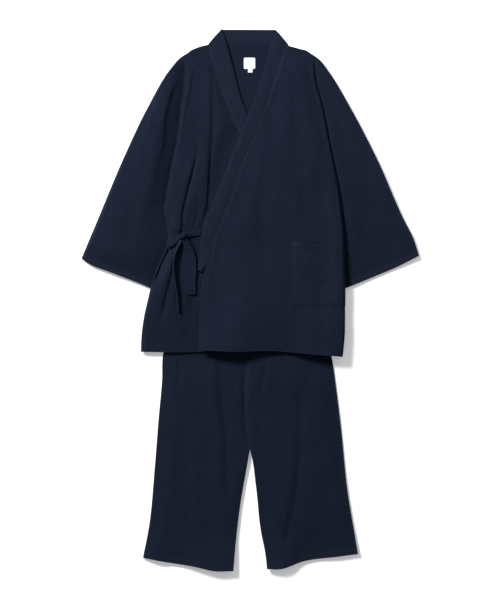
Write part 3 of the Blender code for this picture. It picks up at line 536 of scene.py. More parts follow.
def right_columns(centre, side):
    """Columns of the right front: few where it is covered, and many beside each fold's steep side."""
    width = centre[0] - side[0]
    share = np.linspace(0, 1, 101)
    x = centre[0] - width * share
    down = centre[1] + (side[1] - centre[1]) * share
    marks = [0.0, np.interp(0, np.minimum(curve(COVER, down) + 18, centre[0] - 5) - x, share)]
    for guide in RIGHT_GUIDES:
        marks.append(np.interp(0, curve(guide, down) - x, share))
    marks.append(1 - SIDE_INSETS[0] / width)
    columns = [np.linspace(marks[0], marks[1], 24)[:-1]]
    for start, end, count in zip(marks[1:], marks[2:], (38, 34, 26, 10)):
        columns.append(start + (end - start) * (1 - (1 - np.linspace(0, 1, count + 1)[:-1]) ** 1.6))
    return np.concatenate(columns + [1 - np.asarray(SIDE_INSETS) / width])


plan = front_plan(
    RIGHT_COLLAR, RIGHT_FREE, RIGHT_SHOULDER, RIGHT_LEVELS, RIGHT_HEM, RIGHT_SIDE,
    sign=-1, rows=250, columns=right_columns)
x, down = plan[..., 0], plan[..., 1]
right_from_hem = hem_distance(x, down, RIGHT_FREE, RIGHT_LEVELS, RIGHT_HEM, RIGHT_SIDE)
from_side = np.maximum(x - body(RIGHT_SIDE, down), 0)
height = right_front_under(x, down) + stitched_hem(right_from_hem, HEM_STITCH, x) * step(0, 10, from_side)
from_seam = np.where(down < COLLAR_END - 3, np.abs(x - x[:, :1]), 100)
# Paler along the collar seam and the hem: a pressed, worn edge, and painted highlight where it catches the
# light.
wear_and_highlight = 0.55 * near(from_seam, 1.8) + 0.5 * near(right_from_hem, 1.6)
wall = CLOTH * (0.3 + 0.7 * step(0, 5, from_side))
right_front, right_front_points = laid_panel(
    "right_front_panel", plan, height, ["jacket_front_right"], wear_and_highlight=wear_and_highlight, thickness=wall)

# Left front
# A cotton panel that closes over the right front and hangs free below the collar's end, where its edge
# is turned under and stitched. Its hem is turned up and stitched, and lifts off the trousers in places.

LEFT_COLLAR = np.array((
    # down and x at the seam, down and x at the free edge
    (41, 92.3, 2.4, 59.6),
    (54, 87.7, 10, 56.5),
    (90, 75, 62, 42),
    (130, 60.8, 114, 26.5),
    (196, 38.7, 182, 5),
    (250, 16.7, 234, -15),
    (331, -15.2, 315, -50),
    (394.5, -37.2, 380, -74),
    (453, -59.3, 438, -98),
    (492.5, -76.4, 476, -114),
    (519.5, -86.2, 508, -121),
    (558.5, -93, 550, -126.5),
    (COLLAR_END, -113.5, 591, -127.9),
))
LEFT_FREE = ((COLLAR_END, -113.5), (640, -120), (698, -124.5), (786, -125))
LEFT_SHOULDER = ((119, 48.5), (143, 56.5), (154, 71))
LEFT_LEVELS = ((41, 505, 679, 786), (71, 533, 679, 803))
LEFT_HEM = ((0, 0), (0.25, 0), (0.5, -6), (0.75, -3), (1, 0))
FREE_STITCH = 7.0
LEFT_FOLDS = (
    (0.8, 9, 5.0, 0.30, 0.40, ((100, 640), (103, 700), (106, 760))),
    (0.8, 14, 9.0, 0.30, 0.40, ((90, 100), (97, 220), (108, 370))),
    (0.6, 12, 9.0, 0.30, 0.40, ((128, 140), (143, 200), (155, 260))),
    (1.0, 20, 14.0, 0.30, 0.30, ((34, 200), (26, 300), (14, 420), (20, 620))),
    (0.7, 14, 10.0, 0.30, 0.40, ((112, 360), (120, 430), (128, 490))),
    (0.7, 9, 6.0, 0.30, 0.30, ((-92, 560), (-101, 620), (-104, 700))),
    (0.7, 10, 7.0, 0.30, 0.30, ((188, 250), (199, 340), (205, 440))),
)
HEM_LIFT = (
    # x and how far the hem is lifted off the trousers there
    (-126, 9), (-105, 14.5), (-75, 18.5), (-40, 19.5), (-10, 16.5), (25, 11), (60, 7), (95, 5), (125, 8),
    (158, 15), (190, 18.5), (232, 18.5),
)
POCKET_INNER = 103.9
CREASE_DOWN, CREASE_SLANT = 517.0, 0.09  # of the ridge that lies above the pocket's opening


def left_front_under(x, down):
    """Underside of the left front and its collar."""
    inward = np.maximum(body(LEFT_SIDE, down) - x, 0)
    from_edge = x - curve(COVER, down)
    full_side = step(300, 450, down)
    open_side = step(560, 640, down)
    from_side = step(8 + 12 * full_side, 45 + 65 * full_side, inward)
    from_side = (from_side + (0.35 * full_side + 0.35 * open_side) * (1 - from_side)) * step(0, 6, inward)
    loft = FRONT_LOFT * step(44, 110, from_edge) * from_side * step(50, 110, down)
    loft = loft * (1 - 0.8 * step(700, 800, down)) * relief(FRONT_TROUGHS, x, down)
    overlap = (BAND + GAP) * (1 - step(14, 60, x - curve(RIGHT_COLLAR[:, 2:], down)))
    rolled = side_roll(
        LEFT_ROLL, down, inward, reach=3.5 + 3.0 * full_side, fade=160 - 95 * open_side,
        flat=14 - 11 * open_side)
    lift = curve(HEM_LIFT, x) * step(590, 800, down) * (0.8 + 0.2 * step(0, 40, inward)) * (1 - rolled / 22)
    sewn_edge = np.where(down < COLLAR_END, curve(LEFT_COLLAR, down), curve(LEFT_FREE, down))
    open_cloth = step(0, 18, x - sewn_edge) * step(0, 14, inward)
    detail = folds(LEFT_FOLDS, x, down) + rumple(x, down, 38, 0.6, 5.0) + rumple(x, down, 11, 0.18, 9.0)
    above_pocket = CREASE_DOWN + CREASE_SLANT * (x - POCKET_INNER) - down
    detail += 0.9 * near(above_pocket, 3.6) * step(104, 125, x) * step(10, 60, inward)
    base = PITCH + overlap + waist_lift(down) + neck_lift(x, down)
    return base + rolled + np.maximum(loft + detail * open_cloth, 0) + lift


FREE_INSETS = (0, 0.5, 1.4, 3, 5, 6.2, 7, 7.8, 9, 12)
plan = front_plan(
    LEFT_COLLAR, LEFT_FREE, LEFT_SHOULDER, LEFT_LEVELS, LEFT_HEM, LEFT_SIDE, sign=1, rows=190,
    columns=lambda centre, side: shares(side[0] - centre[0], FREE_INSETS, 105, SIDE_INSETS))
x, down = plan[..., 0], plan[..., 1]
left_from_hem = hem_distance(x, down, LEFT_FREE, LEFT_LEVELS, LEFT_HEM, LEFT_SIDE)
from_side = np.maximum(body(LEFT_SIDE, down) - x, 0)
from_free = np.where(down > COLLAR_END - 20, x - curve(LEFT_FREE, down), 100)
height = left_front_under(x, down) + stitched_hem(left_from_hem, HEM_STITCH, x) * step(0, 10, from_side)
height += stitched_hem(from_free, FREE_STITCH, down) * step(COLLAR_END - 20, COLLAR_END, down)
from_seam = np.where(down < COLLAR_END - 3, x - x[:, :1], 100)
# Paler along the side, the hem, the free edge and the collar seam: worn edges, and painted highlight where
# they catch the light.
wear_and_highlight = 0.2 * near(from_side, 2.0) + 0.5 * near(left_from_hem, 1.6)
wear_and_highlight += 0.2 * near(from_free, 2.0) + 0.7 * near(from_seam, 2.0)
wall = CLOTH * (0.3 + 0.7 * step(0, 5, from_free))
left_front, left_front_points = laid_panel(
    "left_front_panel", plan, height, ["jacket_front_left"], wear_and_highlight=wear_and_highlight, thickness=wall)

# Patch pocket
# One cotton patch on the left front, with its outer side caught in the side seam. Its opening is
# turned in and stitched, its other edges are stitched down, and the opening's corner is sewn twice.

POCKET_TOP = (521.6, 533.0)  # down at the inner edge and at the side
POCKET_BOTTOM = 679.0
POCKET_HEIGHT, POCKET_WIDTH = 160, 127
POCKET_GAP, POCKET_EDGE = 0.15, 0.25  # under the pocket, and its wall where it is sewn down
OPENING_STITCH = 13.0
EDGE_STITCH = 2.2
OPENING_INSETS = (0, 0.6, 1.6, 3, 6, 9, 11, 12.2, 13, 13.8, 15)


def off_surface(points, rise):
    """The points moved square off their surface, upwards."""
    normal = np.cross(np.gradient(points, axis=1), np.gradient(points, axis=0))
    normal /= np.linalg.norm(normal, axis=-1, keepdims=True)
    return points + normal * np.sign(normal[..., 2:]) * np.asarray(rise)[..., None]


level = shares(POCKET_HEIGHT, OPENING_INSETS, 44, (5, 3.4, 2.6, 2.2, 1.8, 1.0, 0.4, 0))
inner_down, side_down = (top + (POCKET_BOTTOM - top) * level for top in POCKET_TOP)
inner = np.column_stack((np.full_like(level, POCKET_INNER), inner_down))
side = np.column_stack((body(LEFT_SIDE, side_down), side_down))
across = shares(POCKET_WIDTH, (0, 0.4, 1.0, 1.8, 2.2, 2.6, 3.4, 5), 36, SIDE_INSETS)
plan = inner[:, None, :] + (side - inner)[:, None, :] * across[:, None]
x, down = plan[..., 0], plan[..., 1]
under = np.concatenate((plan, left_front_under(x, down)[..., None]), axis=-1)
from_top = level[:, None] * POCKET_HEIGHT * np.ones_like(x)
from_foot = (1 - level[:, None]) * POCKET_HEIGHT * np.ones_like(x)
from_inner = x - POCKET_INNER
sewn = np.minimum(from_inner, from_foot)
rise = POCKET_GAP + CLOTH + (0.3 + np.maximum(rumple(x, down, 22, 0.7, 2.0), 0)) * step(0, 16, sewn)
rise += 0.6 * near(from_top, 9) * step(3, 30, from_inner)
corner = np.exp(-(((from_inner - 11) / 11) ** 4) - ((from_top - 7) / 7.5) ** 4)
wall = POCKET_EDGE + (CLOTH - POCKET_EDGE) * step(-1, 7, sewn) * (0.5 + 0.5 * step(0, 3, from_top))
wall += 0.4 * (1 - step(OPENING_STITCH, OPENING_STITCH + 2.5, from_top)) * step(0, 7, sewn) + 0.4 * corner
wall -= 0.3 * near(from_top - OPENING_STITCH, 1.1) * step(0, 5, sewn)
pocket_points, lining_points = off_surface(under, rise + wall), off_surface(under, rise)
outwards = 0.35 + 0.65 * step(4, 14, body(LEFT_SIDE, down) - x)
for points in (pocket_points, lining_points):
    points[..., 0] = x + (points[..., 0] - x) * outwards
# Paler at the corner sewn twice and along the sewn edges: wear, and painted highlight on the raised
# stitching.
wear_and_highlight = 0.6 * corner + 0.35 * near(sewn, 1.8)
pocket = cloth("patch_pocket", pocket_points, lining_points, ["pocket"], wear_and_highlight=wear_and_highlight)

# Collar
# One long cotton band, folded double over a stiffening, and sewn on from the right front's end, round
# the neck, to the left front's end. Beside the neck it folds over, and behind the neck it lies flat.

BAND_WIDTH = 46
NECK_ROWS = 45
# Shares of the band's width from its seam to its fold, and the distances from both
ACROSS = shares(BAND_WIDTH, (0, 0.5, 1.1, 1.8, 2.6, 4), 12, (4, 2.6, 1.8, 1.1, 0.5, 0))
FROM_SEAM, FROM_FOLD = ACROSS * BAND_WIDTH, (1 - ACROSS) * BAND_WIDTH


def run_along(points):
    """How far a line has come at each of its points."""
    return np.concatenate(((0.0,), np.cumsum(np.linalg.norm(np.diff(points, axis=0), axis=-1))))


def band_run(collar, rows, height, seed, depth, width, raised=0.0, thick_end=0.0):
    """The band down one front: as thin as the cloth at its pressed seam, and rounded off at its fold."""
    levels = np.linspace(collar[0, 0], COLLAR_END, rows)
    ends = smooth(collar[:, 0], collar, levels)
    x = ends[:, 1:2] + (ends[:, 3:4] - ends[:, 1:2]) * ACROSS
    down = levels[:, None] + (ends[:, 2:3] - levels[:, None]) * ACROSS
    under = np.stack((x, down, height(x, down)), axis=-1)
    under[..., 2] += 0.3 * step(0, 40, levels - levels[0])[:, None] * step(0, 0.3, ACROSS)
    under[..., 2] += raised * ACROSS ** 2 * (0.4 + 0.6 * step(4, 30, down)) * (1 - step(188, 214, down))
    over = under.copy()
    wall = CLOTH + (BAND - CLOTH) * step(0, 20, FROM_SEAM) - depth * near(FROM_FOLD, width)
    over[..., 2] += (wall - 0.12 * near(FROM_SEAM, 0.8)) * steepness(under)
    over[..., 2] += thick_end * step(0, 0.35, ACROSS) * step(levels[-1] - 24, levels[-1], levels)[:, None]
    over[..., 2] += np.maximum(rumple(x, down, 22, 0.9, seed), -0.2)
    return over, under


def band_turn(over, under):
    """Half a turn about the first row's line, down to the surface."""
    line = over[-1, :2] - over[0, :2]
    out = np.array((line[1], -line[0])) / np.linalg.norm(line)
    out = out if out[1] < 0 else -out
    high = (over[:, 2] + under[:, 2]) / 2
    radius, centre = (high - BAND / 2) / 2, (high + BAND / 2) / 2
    outer, inner = [], []
    for angle in np.radians(np.linspace(18, 162, 9)):
        half = (over[:, 2] - under[:, 2]) / 2
        half = half + (BAND / 2 - half) * angle / math.pi
        for points, reach in ((outer, half), (inner, -half)):
            flat = over[:, :2] + out * ((radius + reach) * math.sin(angle))[:, None]
            points.append(np.column_stack((flat, centre + (radius + reach) * math.cos(angle))))
    return np.array(outer), np.array(inner)


left_over, left_under = band_run(
    LEFT_COLLAR, 200, left_front_under, seed=1.0, depth=1.6, width=6.0, thick_end=3.4)
right_over, right_under = band_run(
    RIGHT_COLLAR, 150, right_front_under, seed=4.0, depth=1.0, width=1.6, raised=2.1)
left_turn, right_turn = band_turn(left_over[0], left_under[0]), band_turn(right_over[0], right_under[0])
share = np.linspace(0, 1, NECK_ROWS)[:, None, None]
neck = left_over[0][None, :, :2] * (1 - share) + right_over[0][None, :, :2] * share
floor = np.zeros(neck.shape[:2] + (1,))
outer = np.concatenate((
    left_over[::-1], left_turn[0], np.concatenate((neck, floor), axis=-1), right_turn[0][::-1], right_over))
neck_rise = CLOTH + (BAND - CLOTH) * step(0, 0.35, ACROSS) - 0.35 * near(FROM_SEAM, 0.9)
neck_wall = floor + neck_rise[:, None]
inner = np.concatenate((
    left_under[::-1], left_turn[1], np.concatenate((neck, neck_wall), axis=-1),
    right_turn[1][::-1], right_under))
lengths = run_along(outer.mean(axis=1))
grain = np.stack(np.broadcast_arrays(FROM_SEAM, lengths[:, None]), axis=-1)
beside_neck = np.ones((len(outer), 1))
beside_neck[len(left_over):-len(right_over)] = 0
# Paler all over, more behind the neck, along the seam and at the fold behind the neck, less at the fold
# beside it: painted light on the raised band, and wear at its edges.
wear_and_highlight = 0.2 + (0.7 * near(FROM_SEAM - 1.4, 2.0) - 0.2 * near(FROM_FOLD, 4)) * beside_neck
wear_and_highlight = wear_and_highlight + (0.15 + 0.6 * near(FROM_FOLD, 2.0)) * (1 - beside_neck)
collar = cloth("collar_band", outer, inner, ["collar"], grain=grain, wear_and_highlight=wear_and_highlight)

# Sleeves
# Each is cut from cotton in one, with its fold along the top, sewn into the side of the body and
# closed under the arm. The cuff is turned in and stitched.

LEFT_SLEEVE = (
    (143, 56.5), (171, 76), (191, 102), (244.5, 191), (312, 321), (377, 468), (398, 509), (413.6, 555.4))
LEFT_CUFF = ((413.6, 555.4), (389, 568.5), (360, 583), (313, 603), (267, 622), (232, 636), (220, 641))
RIGHT_SLEEVE = ((-150, 57), (-172, 71), (-194, 96), (-250.5, 191), (-307, 309), (-374, 468), (-413.6, 562.5))
RIGHT_CUFF = ((-413.6, 562.5), (-396, 575), (-346, 595), (-297, 613.5), (-245.5, 634.6), (-233.5, 640))
UNDERARM = 430.0
MEAN_LENGTH, MEAN_WIDTH = 330, 200
CLOSEST = 0.4  # least distance between two columns beside a fold
CUFF_STITCH = 13.0
CUFF_INSETS = (20, 17, 15, 14, 13.2, 12.4, 11, 8, 5, 2.5, 1, 0)
SLEEVE_TROUGHS = (
    (0.15, 28, ((-262, 300), (-290, 420), (-300, 560))),
    (0.30, 26, ((262, 260), (282, 400), (286, 570))),
    (0.20, 26, ((330, 420), (345, 500), (352, 585))),
)
SLEEVE_FOLDS = (
    (2.5, 12, 5.0, 0.15, 0.55,
     ((-178, 112), (-200, 174), (-211, 223), (-213, 272), (-225, 321), (-238, 370))),
    (3.0, 26, 20.0, 0.20, 0.45, ((-203, 110), (-217, 184), (-236, 304), (-262, 424), (-278, 530))),
    (0.8, 20, 15.0, 0.30, 0.40, ((-262, 260), (-288, 380), (-312, 520))),
    (1.2, 16, 22.0, 0.30, 0.40, ((214, 130), (258, 300), (288, 430), (304, 560))),
    (0.7, 16, 16.0, 0.30, 0.40, ((300, 330), (338, 450), (368, 550))),
)


def edge_normal(edge, inside):
    """Square to an edge in the plan, away from the points inside it."""
    run = np.gradient(edge, axis=0)
    square = np.column_stack((run[:, 1], -run[:, 0])) / np.linalg.norm(run, axis=-1, keepdims=True)
    return square * np.sign((square * (edge - inside)).sum())


def flat_tube(name, plan, top_gain, fold, thickness, nodes, grain_turn=0.0, wear_and_highlight=None):
    """A tube of cloth pressed flat. plan's columns run from its folded outer edge to its inner one.

    fold is the radius of its folds, and top_gain lifts its upper layer. Returns that layer's points too.
    """
    outward = edge_normal(plan[:, 0], plan[:, 8])
    inward = edge_normal(plan[:, -1], plan[:, -9])
    plan = plan.copy()
    fold_x = plan[:, :1, 0].copy()
    plan[:, 0] -= outward * (fold + thickness / 2)
    plan[:, -1] -= inward * (fold + thickness / 2)
    aside = np.abs(plan[:, :5, 0] - fold_x)
    for index in (1, 2, 3, 4):
        limit = aside[:, index] < aside[:, 0] + CLOSEST * index
        plan[limit, index] = plan[limit, 0] - outward[limit] * CLOSEST * index
    middle = thickness / 2 + fold
    angles = np.radians((30, 60, 90, 120, 150))

    def turn(line, direction, reach, upwards):
        columns = []
        for angle in angles:
            height = middle - upwards * reach * math.cos(angle)
            columns.append(np.column_stack((
                line + direction * reach * math.sin(angle), np.full(len(line), height))))
        return np.stack(columns, axis=1)

    def ring(half):
        floor = np.full(plan.shape[:2] + (1,), thickness / 2 - half)
        lower = np.concatenate((plan, floor), axis=-1)[:, ::-3]
        upper = np.concatenate((plan, (middle + fold + half + top_gain)[..., None]), axis=-1)
        outer_turn = turn(plan[:, 0], outward, fold + half, 1)
        inner_turn = turn(plan[:, -1], inward, fold + half, -1)
        return np.concatenate((lower, outer_turn, upper, inner_turn, lower[:, :1]), axis=1)

    outer, inner = ring(thickness / 2), ring(-thickness / 2)
    fold_start = plan[:, ::-3].shape[1]
    upper_start = fold_start + len(angles)
    upper = slice(upper_start, upper_start + plan.shape[1])
    wear_and_highlight_mask = np.zeros(outer.shape[:2])
    if wear_and_highlight is not None:
        wear_and_highlight_mask[:, upper] = wear_and_highlight
        wear_and_highlight_mask[:, fold_start:upper_start] = wear_and_highlight[:, :1]
    turned = math.radians(grain_turn)
    grain = np.stack((
        outer[..., 0] * math.cos(turned) - outer[..., 1] * math.sin(turned),
        outer[..., 0] * math.sin(turned) + outer[..., 1] * math.cos(turned)), axis=-1)
    return cloth(name, outer, inner, nodes, grain=grain, wear_and_highlight=wear_and_highlight_mask, joined=True), outer[:, upper]


def right_swell(beyond, from_fold, down):
    """The right sleeve stands up in the middle and slopes down to the body."""
    reach = 55 + 45 * step(380, 560, down)
    slope = 1 - (1 - np.clip(beyond / reach, 0, 1)) ** 2
    gentle_rise = step(0, 24 + 40 * step(150, 350, down), from_fold)
    return 12.5 * slope * (0.6 * step(0, 8, from_fold) + 0.4 * gentle_rise)


def left_swell(beyond, from_fold, down):
    """The left sleeve dips in the middle and stands up beside its fold."""
    beside_body = 2.4 * step(3, 11, beyond) * (1 - step(11, 75, beyond))
    beside_fold = 6.5 * near(from_fold, 42) * step(0, 2.5, from_fold) * step(0, 12, beyond)
    return beside_body + beside_fold


def sleeve(name, edge, cuff, column, sign, node, grain_turn, swell, closed):
    """One sleeve. sign is 1 for the left one, and closed says how flat its cuff is pressed."""
    edge, cuff = np.array(edge, dtype=float), np.array(cuff, dtype=float)
    level = shares(MEAN_LENGTH, (0, 3), 80, CUFF_INSETS)
    tucked_down = np.linspace(edge[0, 1] + 14, UNDERARM, 24)
    tucked = np.column_stack((body(column, tucked_down) - sign * TUCK, tucked_down))
    armhole = np.concatenate((edge[:1], tucked[1:]))
    under_down = UNDERARM + (cuff[-1, 1] - UNDERARM) * level
    underarm = np.column_stack((body(column, under_down) - sign * TUCK, under_down))
    underarm[-1] = cuff[-1]
    across = np.tile(shares(MEAN_WIDTH, (0, 0.8, 2, 4, 7, 11), 64, (8, 0)), (len(level), 1))
    plan = between(
        along(armhole, across), along(cuff, across), along(edge, level), underarm, across, level)
    x, down = plan[..., 0], plan[..., 1]
    beyond = np.maximum(x - body(LEFT_SIDE, down), body(RIGHT_SIDE, down) - x)
    from_fold = np.linalg.norm(plan - plan[:, :1], axis=-1)
    from_cuff = np.linalg.norm(plan - plan[-1:], axis=-1)
    shown = step(2, 30, beyond) * step(3, 30, from_fold)
    loft = swell(beyond, from_fold, down) * relief(SLEEVE_TROUGHS, x, down)
    detail = folds(SLEEVE_FOLDS, x, down) + rumple(x, down, 38, 1.1, 6.0 + sign)
    detail += rumple(x, down, 12, 0.22, 7.0)
    gain = np.maximum(loft + detail * shown, 0) * (1 - closed * (1 - step(0, 60, from_cuff)))
    gain += stitched_hem(from_cuff, CUFF_STITCH, x) * step(0, 6, from_fold) * step(0, 6, beyond)
    gain = np.maximum(gain, 0) * np.where(across > 0.995, 0, 1)
    # Paler along the fold and at the cuff: worn edges, and painted highlight along the folded edge.
    wear_and_highlight = 0.45 * near(from_fold, 6) + 0.26 * (1 - step(12, 16, from_cuff)) + 0.5 * near(from_cuff, 1.6)
    return flat_tube(name, plan, gain, SLEEVE_FOLD, CLOTH, [node], grain_turn, wear_and_highlight)


left_sleeve, left_sleeve_points = sleeve(
    "left_sleeve_tube", LEFT_SLEEVE, LEFT_CUFF, LEFT_SIDE, 1, "sleeve_left",
    grain_turn=-62, swell=left_swell, closed=0.35)
right_sleeve, right_sleeve_points = sleeve(
    "right_sleeve_tube", RIGHT_SLEEVE, RIGHT_CUFF, RIGHT_SIDE, -1, "sleeve_right",
    grain_turn=62, swell=right_swell, closed=0.7)

# Tie
# Straps of the same cloth, folded and stitched. One comes from the side seam and one from the left
# front's edge. They are knotted once, and their two ends hang: one flat and wide, one on its edge.

STRAPS = (
    # name, node, rows of x, down, height off the cloth, width, thickness and tilt in degrees
    ("tie_side_strap", "tie_side", (
        (-201, 533, 1.4, 11, 2.0, 0), (-193, 528, 1.6, 11, 2.2, 8), (-185, 522, 2.2, 11, 2.4, 12),
        (-177, 515, 3.4, 10, 2.8, 8), (-170, 510.5, 4.4, 10, 3.2, 0))),
    ("tie_front_strap", "tie_front", (
        (-113, 498.8, 0.75, 12, 0.9, 0), (-119.8, 499.3, 0.8, 12.5, 1.0, 0),
        (-122.5, 499.6, 1.3, 13, 2.0, 0), (-130, 500.5, 1.5, 12.5, 2.0, 0), (-140, 501.5, 2.2, 12, 2.2, 0),
        (-150, 503.5, 3.6, 11, 2.8, 0), (-156, 505.5, 4.6, 10, 3.2, 0))),
    ("tie_left_end", "tie_tail_left", (
        (-166, 515, 4.6, 10, 3.2, 0), (-173, 524, 5.0, 11, 2.6, -42), (-180, 540, 6.2, 13, 1.9, -68),
        (-186, 558, 6.4, 13.5, 1.6, -78), (-188, 578, 6.2, 13, 1.5, -80), (-186, 602, 5.6, 12, 1.4, -80),
        (-182, 630, 4.7, 10.5, 1.4, -78), (-178.5, 660, 4.0, 9.5, 1.4, -74),
        (-176.5, 694, 3.3, 9, 1.4, -66))),
    ("tie_right_end", "tie_tail_right", (
        (-160.5, 514, 6.0, 11, 3.6, 0), (-156.5, 524, 5.4, 15, 3.0, 2), (-153, 537, 4.2, 23, 2.4, 3),
        (-150.5, 556, 3.2, 31, 2.1, 3), (-149, 578, 2.6, 35, 2.0, 2), (-148, 604, 2.4, 31, 2.0, 1),
        (-146.5, 628, 2.4, 26, 2.0, 0), (-144.8, 650, 2.4, 23, 2.0, -2))),
)


def right_front_top(x, down):
    """Height of the cloth under a strap, evened out over the strap's width."""
    at = right_front_under(np.array((x - 4, x, x + 4)), np.array((down, down, down)))
    return float(at.mean()) + CLOTH


def strap(name, nodes, rows):
    """A strap with rounded edges, swept along its rows over the right front."""
    rows = np.asarray(rows, dtype=float)
    share = np.linspace(0, 1, 14 * len(rows))
    swept = along(rows, share)
    heading = np.gradient(swept[:, :2], axis=0)
    heading /= np.linalg.norm(heading, axis=-1, keepdims=True)
    square = np.column_stack((-heading[:, 1], heading[:, 0]))
    angles = np.linspace(0, 2 * math.pi, 25)
    wide, tall = np.cos(angles), np.sin(angles)
    section = np.column_stack((
        np.sign(wide) * np.abs(wide) ** 0.6, np.sign(tall) * np.abs(tall) ** 0.8))
    rings = []
    for (x, down, rise, width, thickness, tilt), side in zip(swept, square):
        lean = math.radians(tilt)
        across = section[:, 0] * width / 2
        up = section[:, 1] * thickness / 2 + 0.25 * np.sin(across * 0.9 + down * 0.05)
        aside = across * math.cos(lean) - up * math.sin(lean)
        height = across * math.sin(lean) + up * math.cos(lean)
        centre = right_front_top(x, down) + rise
        rings.append(np.column_stack((x + side[0] * aside, down + side[1] * aside, centre + height)))
    rings = np.array(rings)
    tube = bmesh.new()
    wear_and_highlight_mask = tube.verts.layers.float.new("wear_and_highlight")
    thread = tube.verts.layers.float_vector.new("grain")
    loops = []
    for row, ring in enumerate(place(rings)):
        loop = []
        for point, (across, _) in zip(ring[:-1], section[:-1]):
            vertex = tube.verts.new(point)
            # Paler towards the strap's edges: wear, and painted highlight on the rounded edges.
            vertex[wear_and_highlight_mask] = 0.08 + 0.4 * abs(across) ** 6
            vertex[thread] = (across * swept[row, 3] / 2, row * 1.6, 0)
            loop.append(vertex)
        loops.append([tube.edges.new((loop[i - 1], loop[i])) for i in range(len(loop))])
    for lower, upper in zip(loops, loops[1:]):
        bmesh.ops.bridge_loops(tube, edges=lower + upper)
    for loop in (loops[0], loops[-1]):
        bmesh.ops.contextual_create(tube, geom=loop)
    bmesh.ops.recalc_face_normals(tube, faces=tube.faces)
    return finished(name, tube, nodes, crease=70)


KNOT_PARTS = (
    ("tie_knot_core", ["tie_knot"], (
        (-174.5, 513, 4.0, 8, 5, 0), (-170, 511, 5.5, 12, 8, 0), (-164, 508.5, 6.0, 14, 10, 0),
        (-158, 506, 5.5, 13, 8, 0), (-153.5, 504.5, 4.5, 8, 5, 0))),
    ("tie_knot_wrap", [], (
        (-169.5, 518, 3.0, 9, 3, 0), (-168, 514, 8.0, 10, 3.4, 0), (-165, 508.5, 11.6, 11, 3.6, 0),
        (-161.5, 502.5, 9.0, 10, 3.4, 0), (-159.5, 499, 4.0, 8, 3, 0))),
)
knot = [strap(*part) for part in KNOT_PARTS]
for name, node, rows in STRAPS:
    piece = strap(name, [node], rows)

# Labels
# A white woven label sewn below the back of the neck, with a small tab under it. Both are left bare.

LABEL = 1.0  # the tape's wall
tape, tape_shader = plain_material("white_tape", roughness=0.7)
ribs = yarns(tape.node_tree, "Y", scale=0.5, distortion=0.4)
rib_shade = shaded(tape.node_tree, ribs, (0.76, 0.76, 0.74), (0.90, 0.90, 0.88))
tape.node_tree.links.new(rib_shade, tape_shader.inputs["Base Color"])
rib_relief = embossed(tape.node_tree, ribs, strength=0.5, distance=0.0002)
tape.node_tree.links.new(rib_relief.outputs["Normal"], tape_shader.inputs["Normal"])


def woven_tape(name, node, left, top, right, bottom):
    """A flat piece of tape with softened corners and edges."""
    across, onwards = np.meshgrid(np.linspace(0, 1, 25), np.linspace(0, 1, 25))
    from_side = np.minimum(across, 1 - across) * (right - left)
    from_end = np.minimum(onwards, 1 - onwards) * (bottom - top)
    corner = 0.054 * np.abs(2 * across - 1) ** 8 * np.abs(2 * onwards - 1) ** 8
    x = left + (right - left) * (across + (0.5 - across) * corner)
    down = top + (bottom - top) * (onwards + (0.5 - onwards) * corner)
    height = PITCH + 0.25 * onwards * np.sin(across * 5.0) ** 2
    under = np.stack((x, down, height), axis=-1)
    over = under.copy()
    over[..., 2] += LABEL * (0.65 + 0.35 * step(0, 1.2, np.minimum(from_side, from_end)))
    return cloth(name, over, under, [node], material=tape)


size_tab = woven_tape("size_tab_tape", "size_tab", left=-5.4, top=98.5, right=5.8, bottom=107.0)
neck_label = woven_tape("neck_label_tape", "neck_label", left=-15.5, top=70.6, right=12.3, bottom=98.2)

# Trousers
# Each leg has a cotton front and back, sewn down the outside and the inside leg. The hem is turned up
# and stitched. Soft folds fall from the gathered waist, which the jacket hides.

CROTCH = 1030.0
WAIST_BOTTOM = 693.0
TROUSER_LOFT = 5.0
RIGHT_LEG_SIDE = (
    (WAIST_BOTTOM, -170), (798.7, -213.6), (860, -216), (949, -224), (1075, -234), (1219, -248),
    (1295, -262.6))
LEFT_LEG_SIDE = (
    (WAIST_BOTTOM, 166), (808.5, 200.4), (871, 209.5), (980, 223), (1133, 238.6), (1238, 256),
    (1286, 264))
CENTRE_SEAM = ((WAIST_BOTTOM, -6), (804, -13), (875, -15), (973, -11), (CROTCH, -1))
RIGHT_INSEAM = ((CROTCH, -1), (1060, -6), (1171, -25), (1281, -37.2), (1327, -41))
LEFT_INSEAM = ((CROTCH, -1), (1035, 0.5), (1121, 14), (1230, 26), (1289, 37.5), (1322.5, 41))
RIGHT_LEG_HEM = ((0, 0), (0.22, 7), (0.4, 4), (0.76, 2.5), (1, 0))
LEFT_LEG_HEM = ((0, 0), (0.15, 5), (0.4, -4), (0.75, -2), (1, 0))
LEG_END, LEG_END_X, LEG_END_SLANT = 1327, 41, 0.15  # where the hem meets the inseam, and its slant
LEG_STITCH = 14.0
LEG_INSETS = (24, 19, 16.5, 15.2, 14.4, 13.6, 12.5, 10, 7, 4, 2, 0.7, 0)
TROUSER_TROUGHS = (
    (0.55, 18, ((-84, 800), (-74, 911), (-63, 1002), (-62, 1100), (-54, 1180), (-53, 1260))),
    (0.55, 18, ((121, 860), (118, 1024), (107, 1137), (93, 1213), (74, 1290))),
    (0.40, 9, ((36, 800), (32, 850), (30, 900))),
    (0.40, 10, ((-178, 800), (-179, 840), (-180, 890))),
    (0.25, 24, ((-160, 980), (-158, 1100), (-150, 1240))),
    (0.25, 24, ((180, 960), (190, 1090), (196, 1220))),
    (0.60, 8, ((-13, 790), (-15, 875), (-11, 973), (-1, 1050))),
)
